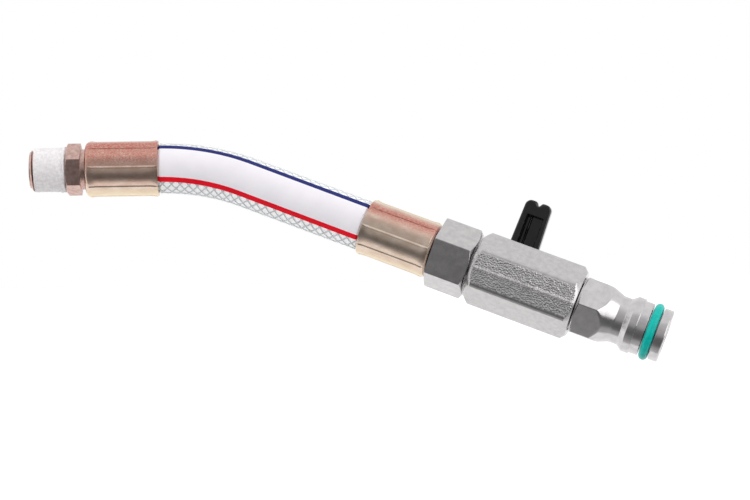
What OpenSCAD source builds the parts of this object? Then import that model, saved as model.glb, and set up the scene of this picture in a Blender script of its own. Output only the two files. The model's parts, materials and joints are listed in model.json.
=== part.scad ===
// Short braided water hose with crimped ends, a mini ball valve and a push-in plug.
// Origin: the shoulder of the port thread. +X: out of the port, +Z: up, +Y: away from the hose's front.
// The valve end has a frame of its own: +X along the valve, +Y towards the lever, +Z along the closed lever.

/* [Hose] */
// Outer diameter of the free hose
hose_od = 16; // [15.8:0.05:16.1]
// Bore of the free hose
hose_bore = 10; // [9.6:0.1:10.4]
// Outer diameter of the textile braid
braid_od = 14.2; // [14:0.05:14.4]
// Thickness of the textile braid
braid_wall = 0.3; // [0.2:0.05:0.4]
// Angle through which the hose bends
bend_angle = 25.3; // [15:0.1:30]
// Lean of the bend's plane from upright, towards the front
bend_tilt = 33.3; // [0:0.1:45]
// Bend radius on the hose's centre line
bend_radius = 62.1; // [58:0.1:90]
// Straight hose between the port ferrule and the bend
straight_out = 1; // [0.9:0.1:3]
// Straight hose between the bend and the valve ferrule
straight_run = 39.5; // [30:0.1:60]
// Middle of the white band, below the front (negative is above)
band_middle = -11; // [-30:1:30]
// Angle between the middles of the two stripes
band_angle = 80; // [60:1:100]
// Angle that each stripe covers
stripe_angle = 12; // [8:1:16]

/* [Crimped ferrules] */
// Outer diameter over the crimped faces
ferrule_od = 16.9; // [16.8:0.05:17.2]
// Wall of the crimped sleeve
ferrule_wall = 0.9; // [0.8:0.05:0.95]
// Length of each ferrule
ferrule_len = 22.2; // [22:0.1:24]
// Rounding of the ferrule's closed end
ferrule_round = 1.4; // [1:0.1:1.6]
// Marks left between the crimping jaws
jaw_marks = 8; // [6:2:8]
// Angle of the first jaw mark from the top
jaw_angle = 43; // [0:1:45]

/* [Port fitting] */
// Size across the flats of the port hexagon
port_hex_af = 14; // [13.5:0.1:15]
// Thickness of the port hexagon
port_hex_len = 4.5; // [4:0.1:5]
// Turn of the port hexagon from flat to the front
port_hex_turn = 8.9; // [0:0.1:30]
// Diameter of the neck behind the hexagon
port_neck_d = 12.4; // [12:0.1:13]
// Length of the neck behind the hexagon
port_neck_len = 1.4; // [1.2:0.1:2]
// Length of the port thread
port_thread_len = 11; // [10:0.1:12]
// Diameter over the sealing tape
tape_d = 13.6; // [13.4:0.05:13.8]
// Length of thread that the tape covers
tape_len = 9.6; // [8:0.1:9.8]
// Bore of both hose tails
tail_bore = 6.5; // [6:0.1:7]

/* [Thread, 1/4 inch pipe] */
// Major diameter
thread_major = 13.157; // [13.1:0.001:13.2]
// Minor diameter
thread_minor = 11.445; // [11.4:0.001:11.5]
// Pitch
thread_pitch = 1.337; // [1.3:0.001:1.4]

/* [Swivel nut] */
// Size across the flats of the swivel nut
nut_af = 19; // [18.6:0.1:19.6]
// Length of the swivel nut
nut_len = 12; // [11.8:0.1:12.1]
// Gap between the valve ferrule and the nut
nut_gap = 0.4; // [0.3:0.05:0.5]
// Turn of the nut from flat to the front
nut_turn = 8; // [0:1:30]

/* [Ball valve] */
// Size across the flats of the valve body
body_af = 20; // [19.8:0.1:20.4]
// Length of the valve body's hexagon
body_len = 32.6; // [32:0.1:34]
// Gap between the nut and the valve body
body_gap = 0.7; // [0.5:0.05:1]
// Height of the forging's parting ridge
ridge_rise = 0.35; // [0.1:0.05:0.5]
// Stem axis, from the body's hose-side face
stem_place = 10.3; // [10.3:0.1:11]
// Ball diameter
ball_d = 13; // [12.9:0.05:13.1]
// Bore through the ball and the body
flow_bore = 8; // [7:0.1:8.2]
// Stem diameter
stem_d = 5; // [4.8:0.05:5.2]

/* [Lever] */
// Reach of the lever's tip from the stem axis
lever_reach = 25; // [22:0.5:30]
// Width of the arm at its root
lever_root_w = 9.8; // [9:0.1:10.5]
// Width of the arm at its tip
lever_tip_w = 8.4; // [8:0.1:9]
// Distance of the arm's open side from the valve axis
lever_back = 12.4; // [12.3:0.1:13]
// Thickness of the arm
lever_t = 4; // [3.5:0.1:4.5]

/* [Push-in plug] */
// Size across the flats of the plug
plug_af = 17; // [16.6:0.1:17.4]
// Full-cornered length of the plug's hexagon
plug_hex_len = 6.5; // [6:0.1:8]
// Turn of the plug's hexagon from corner to the front
plug_turn = -3; // [-30:1:30]
// Diameter of the neck
plug_neck_d = 14.4; // [14:0.1:15]
// Diameter of the locking collar
plug_collar_d = 17.1; // [16.8:0.1:17.4]
// Diameter of the ring in front of the collar
plug_ring_d = 16.1; // [15.8:0.05:16.3]
// Diameter of the nose
plug_nose_d = 15.9; // [15.6:0.05:16]
// Length of the nose
plug_nose_len = 2.8; // [2.5:0.1:3.5]
// Bore of the plug
plug_bore = 9; // [8:0.1:10]
// Section diameter of the plug's O-ring
oring_section = 2.65; // [2.5:0.05:2.7]
// Outer diameter of the plug's O-ring
oring_od = 17.5; // [17.3:0.05:17.6]

/* [Hidden] */

$fn = 96;
slack = 0.05;                       // clearance between pieces that fit
big = 60;                           // reach of a cutting shape

// hose walls, free and squeezed in the ferrules
free_r = [hose_bore/2, braid_od/2 - braid_wall, braid_od/2, hose_od/2];
squeezed_r = [5.45, 6.6, 6.75, ferrule_od/2 - ferrule_wall - slack];
squeeze_run = 0.8;                  // length over which the hose swells at a ferrule's mouth
tail_cover = 3;                     // ferrule length beyond the hose's end
lap_trim = 0.03;                    // how much thinner the bent stretch's walls are, each side
lap_angle = 0.4;                    // how far they lap into the straight stretches, in degrees

// angles of the stripes, measured from the bend's outer side towards the back
band_mid = -90 - band_middle - bend_tilt;
blue_from = band_mid + band_angle/2 - stripe_angle/2;
blue_to = band_mid + band_angle/2 + stripe_angle/2;
red_from = band_mid - band_angle/2 - stripe_angle/2;
red_to = band_mid - band_angle/2 + stripe_angle/2;

// stations along the port's axis
ferrule_x = port_hex_len + port_neck_len;
mouth_x = ferrule_x + ferrule_len;
bend_x = mouth_x + straight_out;

// place of the valve ferrule's mouth
bend_drop = bend_radius*(1 - cos(bend_angle)) + straight_run*sin(bend_angle);
valve_mouth = [bend_x + bend_radius*sin(bend_angle) + straight_run*cos(bend_angle),
    -bend_drop*sin(bend_tilt), -bend_drop*cos(bend_tilt)];

// stations along the valve's axis, from the valve ferrule's mouth
nut_s = ferrule_len + nut_gap;
body_s = nut_s + nut_len + body_gap;
stem_s = body_s + stem_place;
body_end_s = body_s + body_len;
male_s = body_s - 8;                // end face of the valve's male thread
tail_end_s = male_s - 1.4;          // end face of the hose tail
wire_s = nut_s + 1.6;               // retaining wire
pocket_half = ball_d/2 + 0.25;      // ball cavity, each way from the stem axis
insert_s = stem_s + pocket_half;
plug_s = body_end_s + 0.3;
flare_s = plug_s + plug_hex_len;    // corners start to fall here
neck_s = flare_s + 5.6;
collar_s = neck_s + 4.2;
ring_s = collar_s + 2.3;
groove_s = ring_s + 2.7;
nose_s = groove_s + 3.3;
plug_end_s = nose_s + plug_nose_len;

tail_neck_r = 5.5;
nut_back_r = tail_neck_r + 0.08;
thread_hole_r = thread_major/2 + 0.04;
wire_r = 0.6;
groove_r = 0.72;
insert_r = 8;
seat_bore_r = flow_bore/2 + 0.1;
seat_gap = 0.06;                    // seat to ball
flange_r = 3.6;
boss_r = 5.4;
boss_t = 1.8;
boss_inner_r = 3.5;
tang_half = 14;                     // half the angle of the lever's stop
stem_drive = 3.6;                   // square at the stem's top
oring_groove_r = oring_od/2 - oring_section - 0.02;

// ---------------------------------------------------------------- helpers

// A solid turned about X from a list of [x, radius] corners
module turned(corners) {
    rotate([0, 90, 0])
        rotate_extrude()
            polygon([for (c = corners) [c[1], c[0]]]);
}

// A round bar or hole along X
module bar(x, length, r) {
    translate([x, 0, 0])
        rotate([0, 90, 0])
            cylinder(r = r, h = length);
}

// A six-sided bar along X; turn is measured from a corner at the top
module hex_bar(x, length, af, turn) {
    translate([x, 0, 0])
        rotate([turn, 0, 0])
            rotate([0, 90, 0])
                cylinder(d = af/cos(30), h = length, $fn = 6);
}

// Corners of a thread's crests and roots as rings, from x, for a number of turns
function thread_corners(x, turns) = [for (i = [0 : turns - 1], c = [[0.05, 0], [0.4, 1], [0.6, 1], [0.95, 0]])
    [x + (i + c[0])*thread_pitch, (thread_minor + c[1]*(thread_major - thread_minor))/2]];

// Everything on the valve end, from its own frame to the part's frame
module at_valve() {
    translate(valve_mouth)
        rotate([-bend_tilt, 0, 0])
            rotate([0, bend_angle, 0])
                rotate([bend_tilt, 0, 0])
                    children();
}

// Pieces on the stem: the child's Z points out of the body's back, its Y along the closed lever
module at_stem() {
    translate([stem_s, 0, 0])
        rotate([90, 0, 180])
            children();
}

// A slice of a ring round Z
module ring_slice(r_in, r_out, height, from, to) {
    rotate([0, 0, from])
        rotate_extrude(angle = to - from)
            translate([r_in, 0])
                square([r_out - r_in, height]);
}

// ---------------------------------------------------------------- hose

// A hose wall's section between two radii and two angles
module wall_section(r_in, r_out, from, to) {
    intersection() {
        difference() {
            circle(r_out);
            circle(r_in);
        }
        if (to - from < 360)
            polygon(concat([[0, 0]],
                [for (k = [0 : 8]) 3*r_out*[cos(from + (to - from)*k/8), sin(from + (to - from)*k/8)]]));
        else
            circle(r_out);
    }
}

// A straight stretch of wall about X, from [x, radius] corners, between two angles
module straight_wall(corners, from, to) {
    rotate([0, -90, 0])
        rotate([0, 0, from])
            rotate_extrude(angle = to - from)
                polygon([for (c = corners) [c[1], -c[0]]]);
}

// One layer of the hose, from the inside of wall k to the outside of wall k_out, between two angles.
// The bent stretch is a hair thinner than the straight ones and laps into them, so the three are one solid.
module hose_layer(k, k_out, from, to) {
    in_f = free_r[k];
    out_f = free_r[k_out];
    in_s = squeezed_r[k];
    out_s = squeezed_r[k_out];
    held = ferrule_len - tail_cover;
    side = to - from < 360 ? lap_angle : 0;
    rotate([-bend_tilt, 0, 0]) {
        straight_wall([[mouth_x - held, in_s], [mouth_x, in_s], [mouth_x + squeeze_run, in_f],
            [bend_x, in_f], [bend_x, out_f], [mouth_x + squeeze_run, out_f], [mouth_x, out_s],
            [mouth_x - held, out_s]], from, to);
        translate([bend_x, 0, -bend_radius]) {
            rotate([-90, -90, 0])
                rotate([0, 0, -lap_angle])
                    rotate_extrude(angle = bend_angle + 2*lap_angle)
                        translate([bend_radius, 0])
                            wall_section(in_f + lap_trim, out_f - lap_trim, from + side, to - side);
            rotate([0, bend_angle, 0])
                translate([0, 0, bend_radius])
                    straight_wall([[0, in_f], [straight_run - squeeze_run, in_f], [straight_run, in_s],
                        [straight_run + held, in_s], [straight_run + held, out_s], [straight_run, out_s],
                        [straight_run - squeeze_run, out_f], [0, out_f]], from, to);
        }
    }
}

module hose_liner() {
    color([0.86, 0.88, 0.88])
        hose_layer(0, 1, 0, 360);
}

module hose_braid() {
    color([0.70, 0.72, 0.72])
        hose_layer(1, 2, 0, 360);
}

module hose_cover() {
    color([0.90, 0.92, 0.92])
        hose_layer(2, 3, blue_to, red_from + 360);
}

module hose_white_band() {
    color([0.95, 0.95, 0.97])
        hose_layer(2, 3, red_to, blue_from);
}

module hose_blue_stripe() {
    color([0.16, 0.22, 0.55])
        hose_layer(2, 3, blue_from, blue_to);
}

module hose_red_stripe() {
    color([0.90, 0.08, 0.16])
        hose_layer(2, 3, red_from, red_to);
}

// ---------------------------------------------------------------- crimped ends

// A ferrule along X: closed end at 0, mouth at ferrule_len
module ferrule() {
    r = ferrule_od/2;
    step = 360/jaw_marks;
    rotate([jaw_angle - step/2, 0, 0])
        difference() {
            union() {
                rotate([0, 90, 0])
                    rotate_extrude() {
                        translate([5, 0])
                            square([r - ferrule_round - 5, ferrule_len]);
                        translate([5, ferrule_round])
                            square([r - 5, ferrule_len - ferrule_round]);
                        translate([r - ferrule_round, ferrule_round])
                            circle(ferrule_round);
                    }
                for (i = [0 : jaw_marks - 1])
                    rotate([(i + 0.5)*step, 0, 0])
                        translate([0, 0, r - 0.12])
                            bar(1.9, ferrule_len - 2.1, 0.3);
            }
            bar(1.5, ferrule_len, r - ferrule_wall);
        }
}

// Corners of a barbed hose tail: the groove that holds the ferrule starts at x, dir is 1 or -1
function tail_corners(x, dir) = concat(
    [[x + dir*0.05, 4.9], [x + dir*1.6, 4.9], [x + dir*1.6, 5.9], [x + dir*2.8, 5.9], [x + dir*2.8, 4.95]],
    [for (i = [0 : 4], c = [[0, 5], [2.6, 5.4], [2.9, 5.4], [2.95, 5]]) [x + dir*(3.1 + i*3.3 + c[0]), c[1]]],
    [[x + dir*19.6, 4.9], [x + dir*20.9, 4.4]]);

module port_fitting() {
    end_x = ferrule_x + 20.9;
    color([0.62, 0.52, 0.46])
        difference() {
            union() {
                intersection() {
                    hex_bar(0, port_hex_len, port_hex_af, port_hex_turn);
                    turned([[0, 0], [0, 7], [0.7, 8.3], [port_hex_len, 8.3], [port_hex_len, 0]]);
                }
                turned(concat([[-port_thread_len, 0], [-port_thread_len, thread_minor/2 - 0.2]],
                    thread_corners(-port_thread_len + 0.1, 7), [[-0.8, thread_minor/2], [0, thread_minor/2],
                    [0, port_neck_d/2], [ferrule_x - slack, port_neck_d/2], [ferrule_x - slack, 4.9]],
                    tail_corners(ferrule_x, 1), [[end_x, 0]]));
            }
            bar(-port_thread_len - 1, big, tail_bore/2);
        }
}

module thread_tape() {
    color("white")
        difference() {
            bar(-tape_len, tape_len, tape_d/2);
            bar(-big/2, big, thread_major/2);
        }
}

module port_ferrule() {
    color([0.80, 0.62, 0.48])
        translate([ferrule_x, 0, 0])
            ferrule();
}

module valve_ferrule() {
    color([0.80, 0.62, 0.48])
        at_valve()
            translate([ferrule_len, 0, 0])
                mirror([1, 0, 0])
                    ferrule();
}

module valve_tail() {
    color([0.62, 0.60, 0.56])
        at_valve()
            difference() {
                turned(concat([[tail_end_s, 0], [tail_end_s, tail_neck_r], [ferrule_len + slack, tail_neck_r],
                    [ferrule_len + slack, 4.9]], tail_corners(ferrule_len, -1), [[ferrule_len - 20.9, 0]]));
                bar(-big/2, big*2, tail_bore/2);
                wire_groove();
            }
}

// Ring-shaped groove, half in the tail and half in the nut
module wire_groove() {
    translate([wire_s, 0, 0])
        rotate([0, 90, 0])
            rotate_extrude()
                translate([tail_neck_r, 0])
                    circle(groove_r);
}

module nut_retaining_wire() {
    color([0.7, 0.7, 0.7])
        at_valve()
            translate([wire_s, 0, 0])
                rotate([0, 90, 0])
                    rotate_extrude(angle = 350)
                        translate([tail_neck_r, 0])
                            circle(wire_r);
}

module tail_seal() {
    color([0.2, 0.2, 0.2])
        at_valve()
            difference() {
                bar(tail_end_s + slack, male_s - tail_end_s - 2*slack, 6.3);
                bar(0, big, flow_bore/2 + 0.2);
            }
}

module swivel_nut() {
    face_r = nut_af/2;
    color([0.66, 0.66, 0.67])
        at_valve()
            difference() {
                intersection() {
                    hex_bar(nut_s, nut_len, nut_af, nut_turn);
                    turned([[nut_s, 0], [nut_s, face_r + 1.2], [nut_s + 0.3, face_r + 1.6],
                        [nut_s + nut_len - 1, face_r + 1.6], [nut_s + nut_len, face_r - 0.1],
                        [nut_s + nut_len, 0]]);
                }
                bar(nut_s - 1, nut_len, nut_back_r);
                turned([[tail_end_s - 0.6, 0], [tail_end_s, thread_hole_r], [nut_s + nut_len - 0.5, thread_hole_r],
                    [nut_s + nut_len + 0.1, thread_hole_r + 0.5], [nut_s + nut_len + 0.1, 0]]);
                wire_groove();
            }
}

// ---------------------------------------------------------------- ball valve

// Section of the forged body: a hexagon whose front and back faces rise to the parting ridge
module body_section() {
    corner_r = body_af/2/cos(30);
    ridge_r = body_af/2 + ridge_rise;
    polygon([for (a = [0 : 30 : 359]) if (a % 60 == 0 || a % 180 == 90)
        (a % 180 == 90 ? ridge_r : corner_r)*[cos(a), sin(a)]]);
}

module valve_body() {
    outer_r = body_af/2 + 1.3;
    color([0.68, 0.68, 0.69])
        at_valve()
            difference() {
                union() {
                    intersection() {
                        translate([body_s, 0, 0])
                            rotate([0, 90, 0])
                                linear_extrude(body_len)
                                    body_section();
                        turned([[body_s, 0], [body_s, outer_r - 1.6], [body_s + 1.6, outer_r],
                            [body_end_s - 1.5, outer_r], [body_end_s, outer_r - 1.4], [body_end_s, 0]]);
                    }
                    turned(concat([[male_s, 0], [male_s, thread_minor/2 - 0.2]], thread_corners(male_s + 0.2, 5),
                        [[body_s - 0.9, thread_minor/2], [body_s + 0.1, thread_minor/2], [body_s + 0.1, 0]]));
                    at_stem()
                        difference() {
                            cylinder(r = boss_r, h = body_af/2 + boss_t);
                            translate([0, 0, body_af/2 + 0.4])
                                ring_slice(boss_inner_r, boss_r + 1, boss_t, 90 - tang_half - 1, 180 + tang_half + 1);
                        }
                }
                bar(male_s - 1, big/2, flow_bore/2);
                bar(stem_s - pocket_half, big, ball_d/2 + 0.25);
                bar(insert_s, big, insert_r + slack);
                at_stem() {
                    cylinder(r = flange_r + 0.1, h = 8.2);
                    cylinder(r = stem_d/2 + slack, h = big);
                }
            }
}

module valve_insert() {
    color([0.74, 0.74, 0.75])
        at_valve()
            difference() {
                bar(insert_s + slack, body_end_s - insert_s - 0.3, insert_r);
                bar(insert_s - 1, big, flow_bore/2);
                turned([[insert_s + 3.2, 0], [insert_s + 4, thread_hole_r], [body_end_s - 0.8, thread_hole_r],
                    [body_end_s, thread_hole_r + 0.7], [body_end_s, 0]]);
            }
}

// A seat on the plug side of the ball, its cone square to the ball's surface at 45 degrees
module seat() {
    cone = (ball_d/2 + seat_gap)*sqrt(2);
    turned([[6.7, seat_bore_r], [cone - seat_bore_r, seat_bore_r], [4, cone - 4], [4, 6.7], [6.7, 6.7]]);
}

module plug_side_seat() {
    color("white")
        at_valve()
            translate([stem_s, 0, 0])
                seat();
}

module hose_side_seat() {
    color("white")
        at_valve()
            translate([stem_s, 0, 0])
                mirror([1, 0, 0])
                    seat();
}

module valve_ball() {
    color([0.82, 0.83, 0.85])
        at_valve()
            at_stem()
                difference() {
                    sphere(d = ball_d);
                    rotate([90, 0, 0])
                        cylinder(d = flow_bore, h = big, center = true);
                    translate([-1.1, -ball_d/2, ball_d/2 - 1.6])
                        cube([2.2, ball_d, 3]);
                }
}

module valve_stem() {
    top = body_af/2 + boss_t + 0.2;
    color([0.76, 0.68, 0.44])
        at_valve()
            at_stem()
                difference() {
                    union() {
                        intersection() {
                            translate([-1, -5, ball_d/2 - 1.5])
                                cube([2, 10, 1.7]);
                            cylinder(r = 3.3, h = 8);
                        }
                        translate([0, 0, ball_d/2 + 0.1])
                            cylinder(r = flange_r, h = 0.95);
                        cylinder_stack(top);
                    }
                    for (z = [8.9, 10.4])
                        translate([0, 0, z])
                            ring_slice(stem_d/2 - 0.95, stem_d, 1, 0, 360);
                    translate([0, 0, 10.8])
                        cylinder(r = 1.05, h = 8);
                }
}

// The stem's round shank and its square top
module cylinder_stack(top) {
    translate([0, 0, ball_d/2 + 1])
        cylinder(d = stem_d, h = top - ball_d/2 - 1);
    translate([-stem_drive/2, -stem_drive/2, top - 0.1])
        cube([stem_drive, stem_drive, 3.4]);
}

module stem_washer() {
    color("white")
        at_valve()
            at_stem()
                translate([0, 0, ball_d/2 + 1.08])
                    ring_slice(stem_d/2 + 0.04, flange_r, 0.55, 0, 360);
}

module stem_o_rings() {
    color([0.12, 0.12, 0.12])
        at_valve()
            at_stem()
                for (z = [9.4, 10.9])
                    translate([0, 0, z])
                        rotate_extrude()
                            translate([stem_d/2 - 0.46, 0])
                                circle(0.46);
}

// ---------------------------------------------------------------- lever

// Outline of the arm: a waisted tongue with two rounded lobes and a notch at its tip
module arm_outline() {
    lobe = 2;
    difference() {
        union() {
            circle(6.2);
            polygon([[-lever_root_w/2, 3], [-lever_tip_w/2, lever_reach - lobe],
                [lever_tip_w/2, lever_reach - lobe], [lever_root_w/2, 3]]);
            for (side = [-1, 1])
                translate([side*(lever_tip_w/2 - lobe), lever_reach - lobe])
                    circle(lobe);
            translate([lobe - lever_tip_w/2, lever_reach - 2*lobe])
                square([lever_tip_w - 2*lobe, 1.4*lobe]);
        }
        translate([0, lever_reach + 1.7])
            circle(2.9);
    }
}

module lever() {
    hub_z = body_af/2 + boss_t + 0.2;
    hub_top = lever_back + lever_t + 0.8;
    floor_z = 2.3;
    color([0.09, 0.09, 0.10])
        at_valve()
            at_stem()
                difference() {
                    union() {
                        translate([0, 0, lever_back])
                            linear_extrude(lever_t)
                                arm_outline();
                        translate([0, 0, hub_z])
                            cylinder(r = 6.2, h = hub_top - hub_z);
                        translate([0, 0, hub_z - boss_t + 0.4])
                            ring_slice(boss_inner_r + 0.15, boss_r - 0.1, boss_t, 90 - tang_half, 90 + tang_half);
                    }
                    translate([-2.7, 7.6, lever_back - 1])
                        cube([5, lever_reach - 12.2, 1 + floor_z]);
                    translate([1.3, 7.6, lever_back])
                        cube([1, lever_reach - 12.6, floor_z + 0.6]);
                    translate([-stem_drive/2 - slack, -stem_drive/2 - slack, hub_z - 1])
                        cube([stem_drive + 2*slack, stem_drive + 2*slack, 4.6]);
                    cylinder(r = 1.4, h = big);
                    translate([0, 0, hub_top - 1])
                        cylinder(r = 3, h = 3);
                }
}

module lever_screw() {
    seat_z = lever_back + lever_t - 0.2;
    color([0.75, 0.75, 0.76])
        at_valve()
            at_stem()
                difference() {
                    union() {
                        translate([0, 0, 11.2])
                            cylinder(r = 1, h = seat_z - 11.2 + 0.1);
                        translate([0, 0, seat_z])
                            cylinder(r = 2.4, h = 1.7);
                    }
                    translate([-0.3, -1.8, seat_z + 0.8])
                        cube([0.6, 3.6, 2]);
                    translate([-1.8, -0.3, seat_z + 0.8])
                        cube([3.6, 0.6, 2]);
                }
}

// ---------------------------------------------------------------- plug

module plug() {
    corner_r = plug_af/2/cos(30);
    neck_r = plug_neck_d/2;
    collar_r = plug_collar_d/2;
    ring_r = plug_ring_d/2;
    nose_r = plug_nose_d/2;
    color([0.80, 0.80, 0.81])
        at_valve()
            difference() {
                union() {
                    intersection() {
                        hex_bar(plug_s, neck_s - plug_s, plug_af, 30 + plug_turn);
                        turned([[plug_s, 0], [plug_s, plug_af/2], [plug_s + 0.4, plug_af/2],
                            [plug_s + 0.8, corner_r + 0.1], [flare_s - 0.17, corner_r + 0.1],
                            [flare_s + 2.3, plug_af/2], [neck_s, neck_r], [neck_s, 0]]);
                    }
                    turned([[neck_s - 0.1, 0], [neck_s - 0.1, neck_r], [neck_s + 2.5, neck_r], [collar_s, collar_r],
                        [ring_s, collar_r], [ring_s, ring_r], [groove_s, ring_r], [groove_s, oring_groove_r],
                        [nose_s, oring_groove_r], [nose_s, nose_r], [plug_end_s - 0.35, nose_r],
                        [plug_end_s, nose_r - 0.35], [plug_end_s, 0]]);
                    turned(concat([[plug_s - 10.5, 0], [plug_s - 10.5, thread_minor/2 - 0.2]],
                        thread_corners(plug_s - 10.4, 6), [[plug_s - 1, thread_minor/2],
                        [plug_s + 0.1, thread_minor/2], [plug_s + 0.1, 0]]));
                }
                bar(plug_s - 12, big, flow_bore/2);
                turned([[neck_s - 1, 0], [neck_s, plug_bore/2], [plug_end_s - 0.6, plug_bore/2],
                    [plug_end_s + 0.1, plug_bore/2 + 0.7], [plug_end_s + 0.1, 0]]);
            }
}

module plug_o_ring() {
    color([0, 0.66, 0.58])
        at_valve()
            translate([(groove_s + nose_s)/2, 0, 0])
                rotate([0, 90, 0])
                    rotate_extrude()
                        translate([oring_od/2 - oring_section/2, 0])
                            circle(oring_section/2);
}

port_fitting();
thread_tape();
port_ferrule();
hose_liner();
hose_braid();
hose_cover();
hose_white_band();
hose_blue_stripe();
hose_red_stripe();
valve_ferrule();
valve_tail();
nut_retaining_wire();
tail_seal();
swivel_nut();
valve_body();
valve_insert();
hose_side_seat();
plug_side_seat();
valve_ball();
valve_stem();
stem_washer();
stem_o_rings();
lever();
lever_screw();
plug();
plug_o_ring();
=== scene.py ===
"""Dresses a short hose assembly: crimped hose, swivel nut, mini ball valve and push-in plug.

Shapes are numpy surfaces in millimetres, placed by one of three sets of axes: the port's, the valve's
and the stem's. Angles round an axis run from its top towards the front of the object.
"""

from __future__ import annotations

import json
import logging
import math
from dataclasses import dataclass, field
from enum import Enum

import bpy
import numpy as np
from mathutils import Matrix, Vector

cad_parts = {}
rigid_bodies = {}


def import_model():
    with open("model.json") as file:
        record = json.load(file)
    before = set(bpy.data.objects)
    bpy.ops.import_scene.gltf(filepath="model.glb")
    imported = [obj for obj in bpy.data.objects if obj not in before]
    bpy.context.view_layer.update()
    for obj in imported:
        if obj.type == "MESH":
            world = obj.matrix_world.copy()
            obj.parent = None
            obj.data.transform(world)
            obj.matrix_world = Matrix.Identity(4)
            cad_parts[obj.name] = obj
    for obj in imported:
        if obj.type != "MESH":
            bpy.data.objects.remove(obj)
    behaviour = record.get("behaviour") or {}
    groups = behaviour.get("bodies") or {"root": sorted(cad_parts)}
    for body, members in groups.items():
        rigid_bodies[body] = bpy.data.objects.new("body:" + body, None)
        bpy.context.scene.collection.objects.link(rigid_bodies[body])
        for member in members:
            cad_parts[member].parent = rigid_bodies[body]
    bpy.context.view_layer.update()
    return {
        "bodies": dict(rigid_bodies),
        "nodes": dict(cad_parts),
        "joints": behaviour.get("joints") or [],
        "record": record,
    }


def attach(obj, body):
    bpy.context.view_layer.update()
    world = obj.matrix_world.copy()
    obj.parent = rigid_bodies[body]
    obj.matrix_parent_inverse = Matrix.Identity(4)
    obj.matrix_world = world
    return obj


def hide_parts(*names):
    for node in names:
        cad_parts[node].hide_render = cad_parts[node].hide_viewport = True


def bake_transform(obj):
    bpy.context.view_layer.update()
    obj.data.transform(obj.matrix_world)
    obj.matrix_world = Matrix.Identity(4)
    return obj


LOG = logging.getLogger("hose_assembly")
MM = 0.001
FRONT = 90.0


# ---------------------------------------------------------------- places


@dataclass(frozen=True)
class Axes:
    """A place in the object, with x along the piece, y to the back and z to the top.

    Args:
        origin: place of the axes' origin, in millimetres of the row frame.
        basis: three rows, the directions of x, y and z.
    """

    origin: np.ndarray
    basis: np.ndarray

    def place(self, local: np.ndarray) -> np.ndarray:
        """Turns local millimetres into metres of the row frame.

        Args:
            local: array of points, the last axis holding x, y and z.

        Returns:
            An array of the same shape.
        """
        return (self.origin + local @ self.basis) * MM

    def shifted(self, along: float) -> Axes:
        """The same axes, moved along x by some millimetres."""
        return Axes(self.origin + along * self.basis[0], self.basis)

    def reversed(self) -> Axes:
        """The same place seen from its other end: x and y point the other way."""
        return Axes(self.origin, self.basis * np.array([[-1.0], [-1.0], [1.0]]))


@dataclass(frozen=True)
class Layout:
    """The driving sizes of the assembly, in millimetres and degrees, as in the part's source."""

    bend_angle: float = 25.3
    bend_tilt: float = 33.3
    bend_radius: float = 62.1
    straight_out: float = 1.0
    straight_run: float = 39.5
    ferrule_x: float = 5.9
    ferrule_len: float = 22.2
    tail_cover: float = 3.0
    nut_s: float = 22.6
    nut_len: float = 12.0
    body_s: float = 35.3
    body_len: float = 32.6
    stem_s: float = 45.6
    plug_s: float = 68.2

    @property
    def free_len(self) -> float:
        """Length of hose between the two ferrules, along its centre line."""
        return self.straight_out + self.arc_len + self.straight_run

    @property
    def arc_len(self) -> float:
        """Length of the bend along its centre line."""
        return self.bend_radius * math.radians(self.bend_angle)

    @property
    def mouth_x(self) -> float:
        """Station of the port ferrule's mouth."""
        return self.ferrule_x + self.ferrule_len

    def port_axes(self) -> Axes:
        """Axes of the port: the row frame itself."""
        return Axes(np.zeros(3), np.eye(3))

    def bend_basis(self) -> np.ndarray:
        """Directions along the port, across the bend's plane, and to the bend's outer side."""
        lean = math.radians(self.bend_tilt)
        return np.array(
            [[1, 0, 0], [0, math.cos(lean), -math.sin(lean)], [0, math.sin(lean), math.cos(lean)]]
        )

    def centre_line(self, run: np.ndarray) -> tuple[np.ndarray, np.ndarray, np.ndarray]:
        """The hose's centre line: straight, an arc, then straight again.

        Args:
            run: distances along the line from the port ferrule's mouth, in millimetres.

        Returns:
            Points, and at each the direction to the bend's outer side and the one across the bend.
        """
        along, across, outer = self.bend_basis()
        turn = np.clip((run - self.straight_out) / self.bend_radius, 0, math.radians(self.bend_angle))
        before = np.minimum(run - self.straight_out, 0)
        after = np.maximum(run - self.straight_out - self.arc_len, 0)
        x = self.mouth_x + self.straight_out + before
        x = x + self.bend_radius * np.sin(turn) + after * np.cos(turn)
        fall = self.bend_radius * (1 - np.cos(turn)) + after * np.sin(turn)
        points = x[:, None] * along - fall[:, None] * outer
        up = np.sin(turn)[:, None] * along + np.cos(turn)[:, None] * outer
        return points, up, np.broadcast_to(across, points.shape)

    def valve_axes(self) -> Axes:
        """Axes of the valve, with the origin at the valve ferrule's mouth."""
        mouth, _, _ = self.centre_line(np.array([self.free_len]))
        frame = self.bend_basis()
        angle = math.radians(self.bend_angle)
        bend = np.array(
            [[math.cos(angle), 0, -math.sin(angle)], [0, 1, 0], [math.sin(angle), 0, math.cos(angle)]]
        )
        return Axes(mouth[0], frame.T @ bend @ frame)

    def stem_axes(self) -> Axes:
        """Axes of the stem: z points out of the body's back and y along the closed lever."""
        valve = self.valve_axes()
        basis = np.array([-valve.basis[0], valve.basis[2], valve.basis[1]])
        return Axes(valve.shifted(self.stem_s).origin, basis)


# ---------------------------------------------------------------- surfaces


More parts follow.
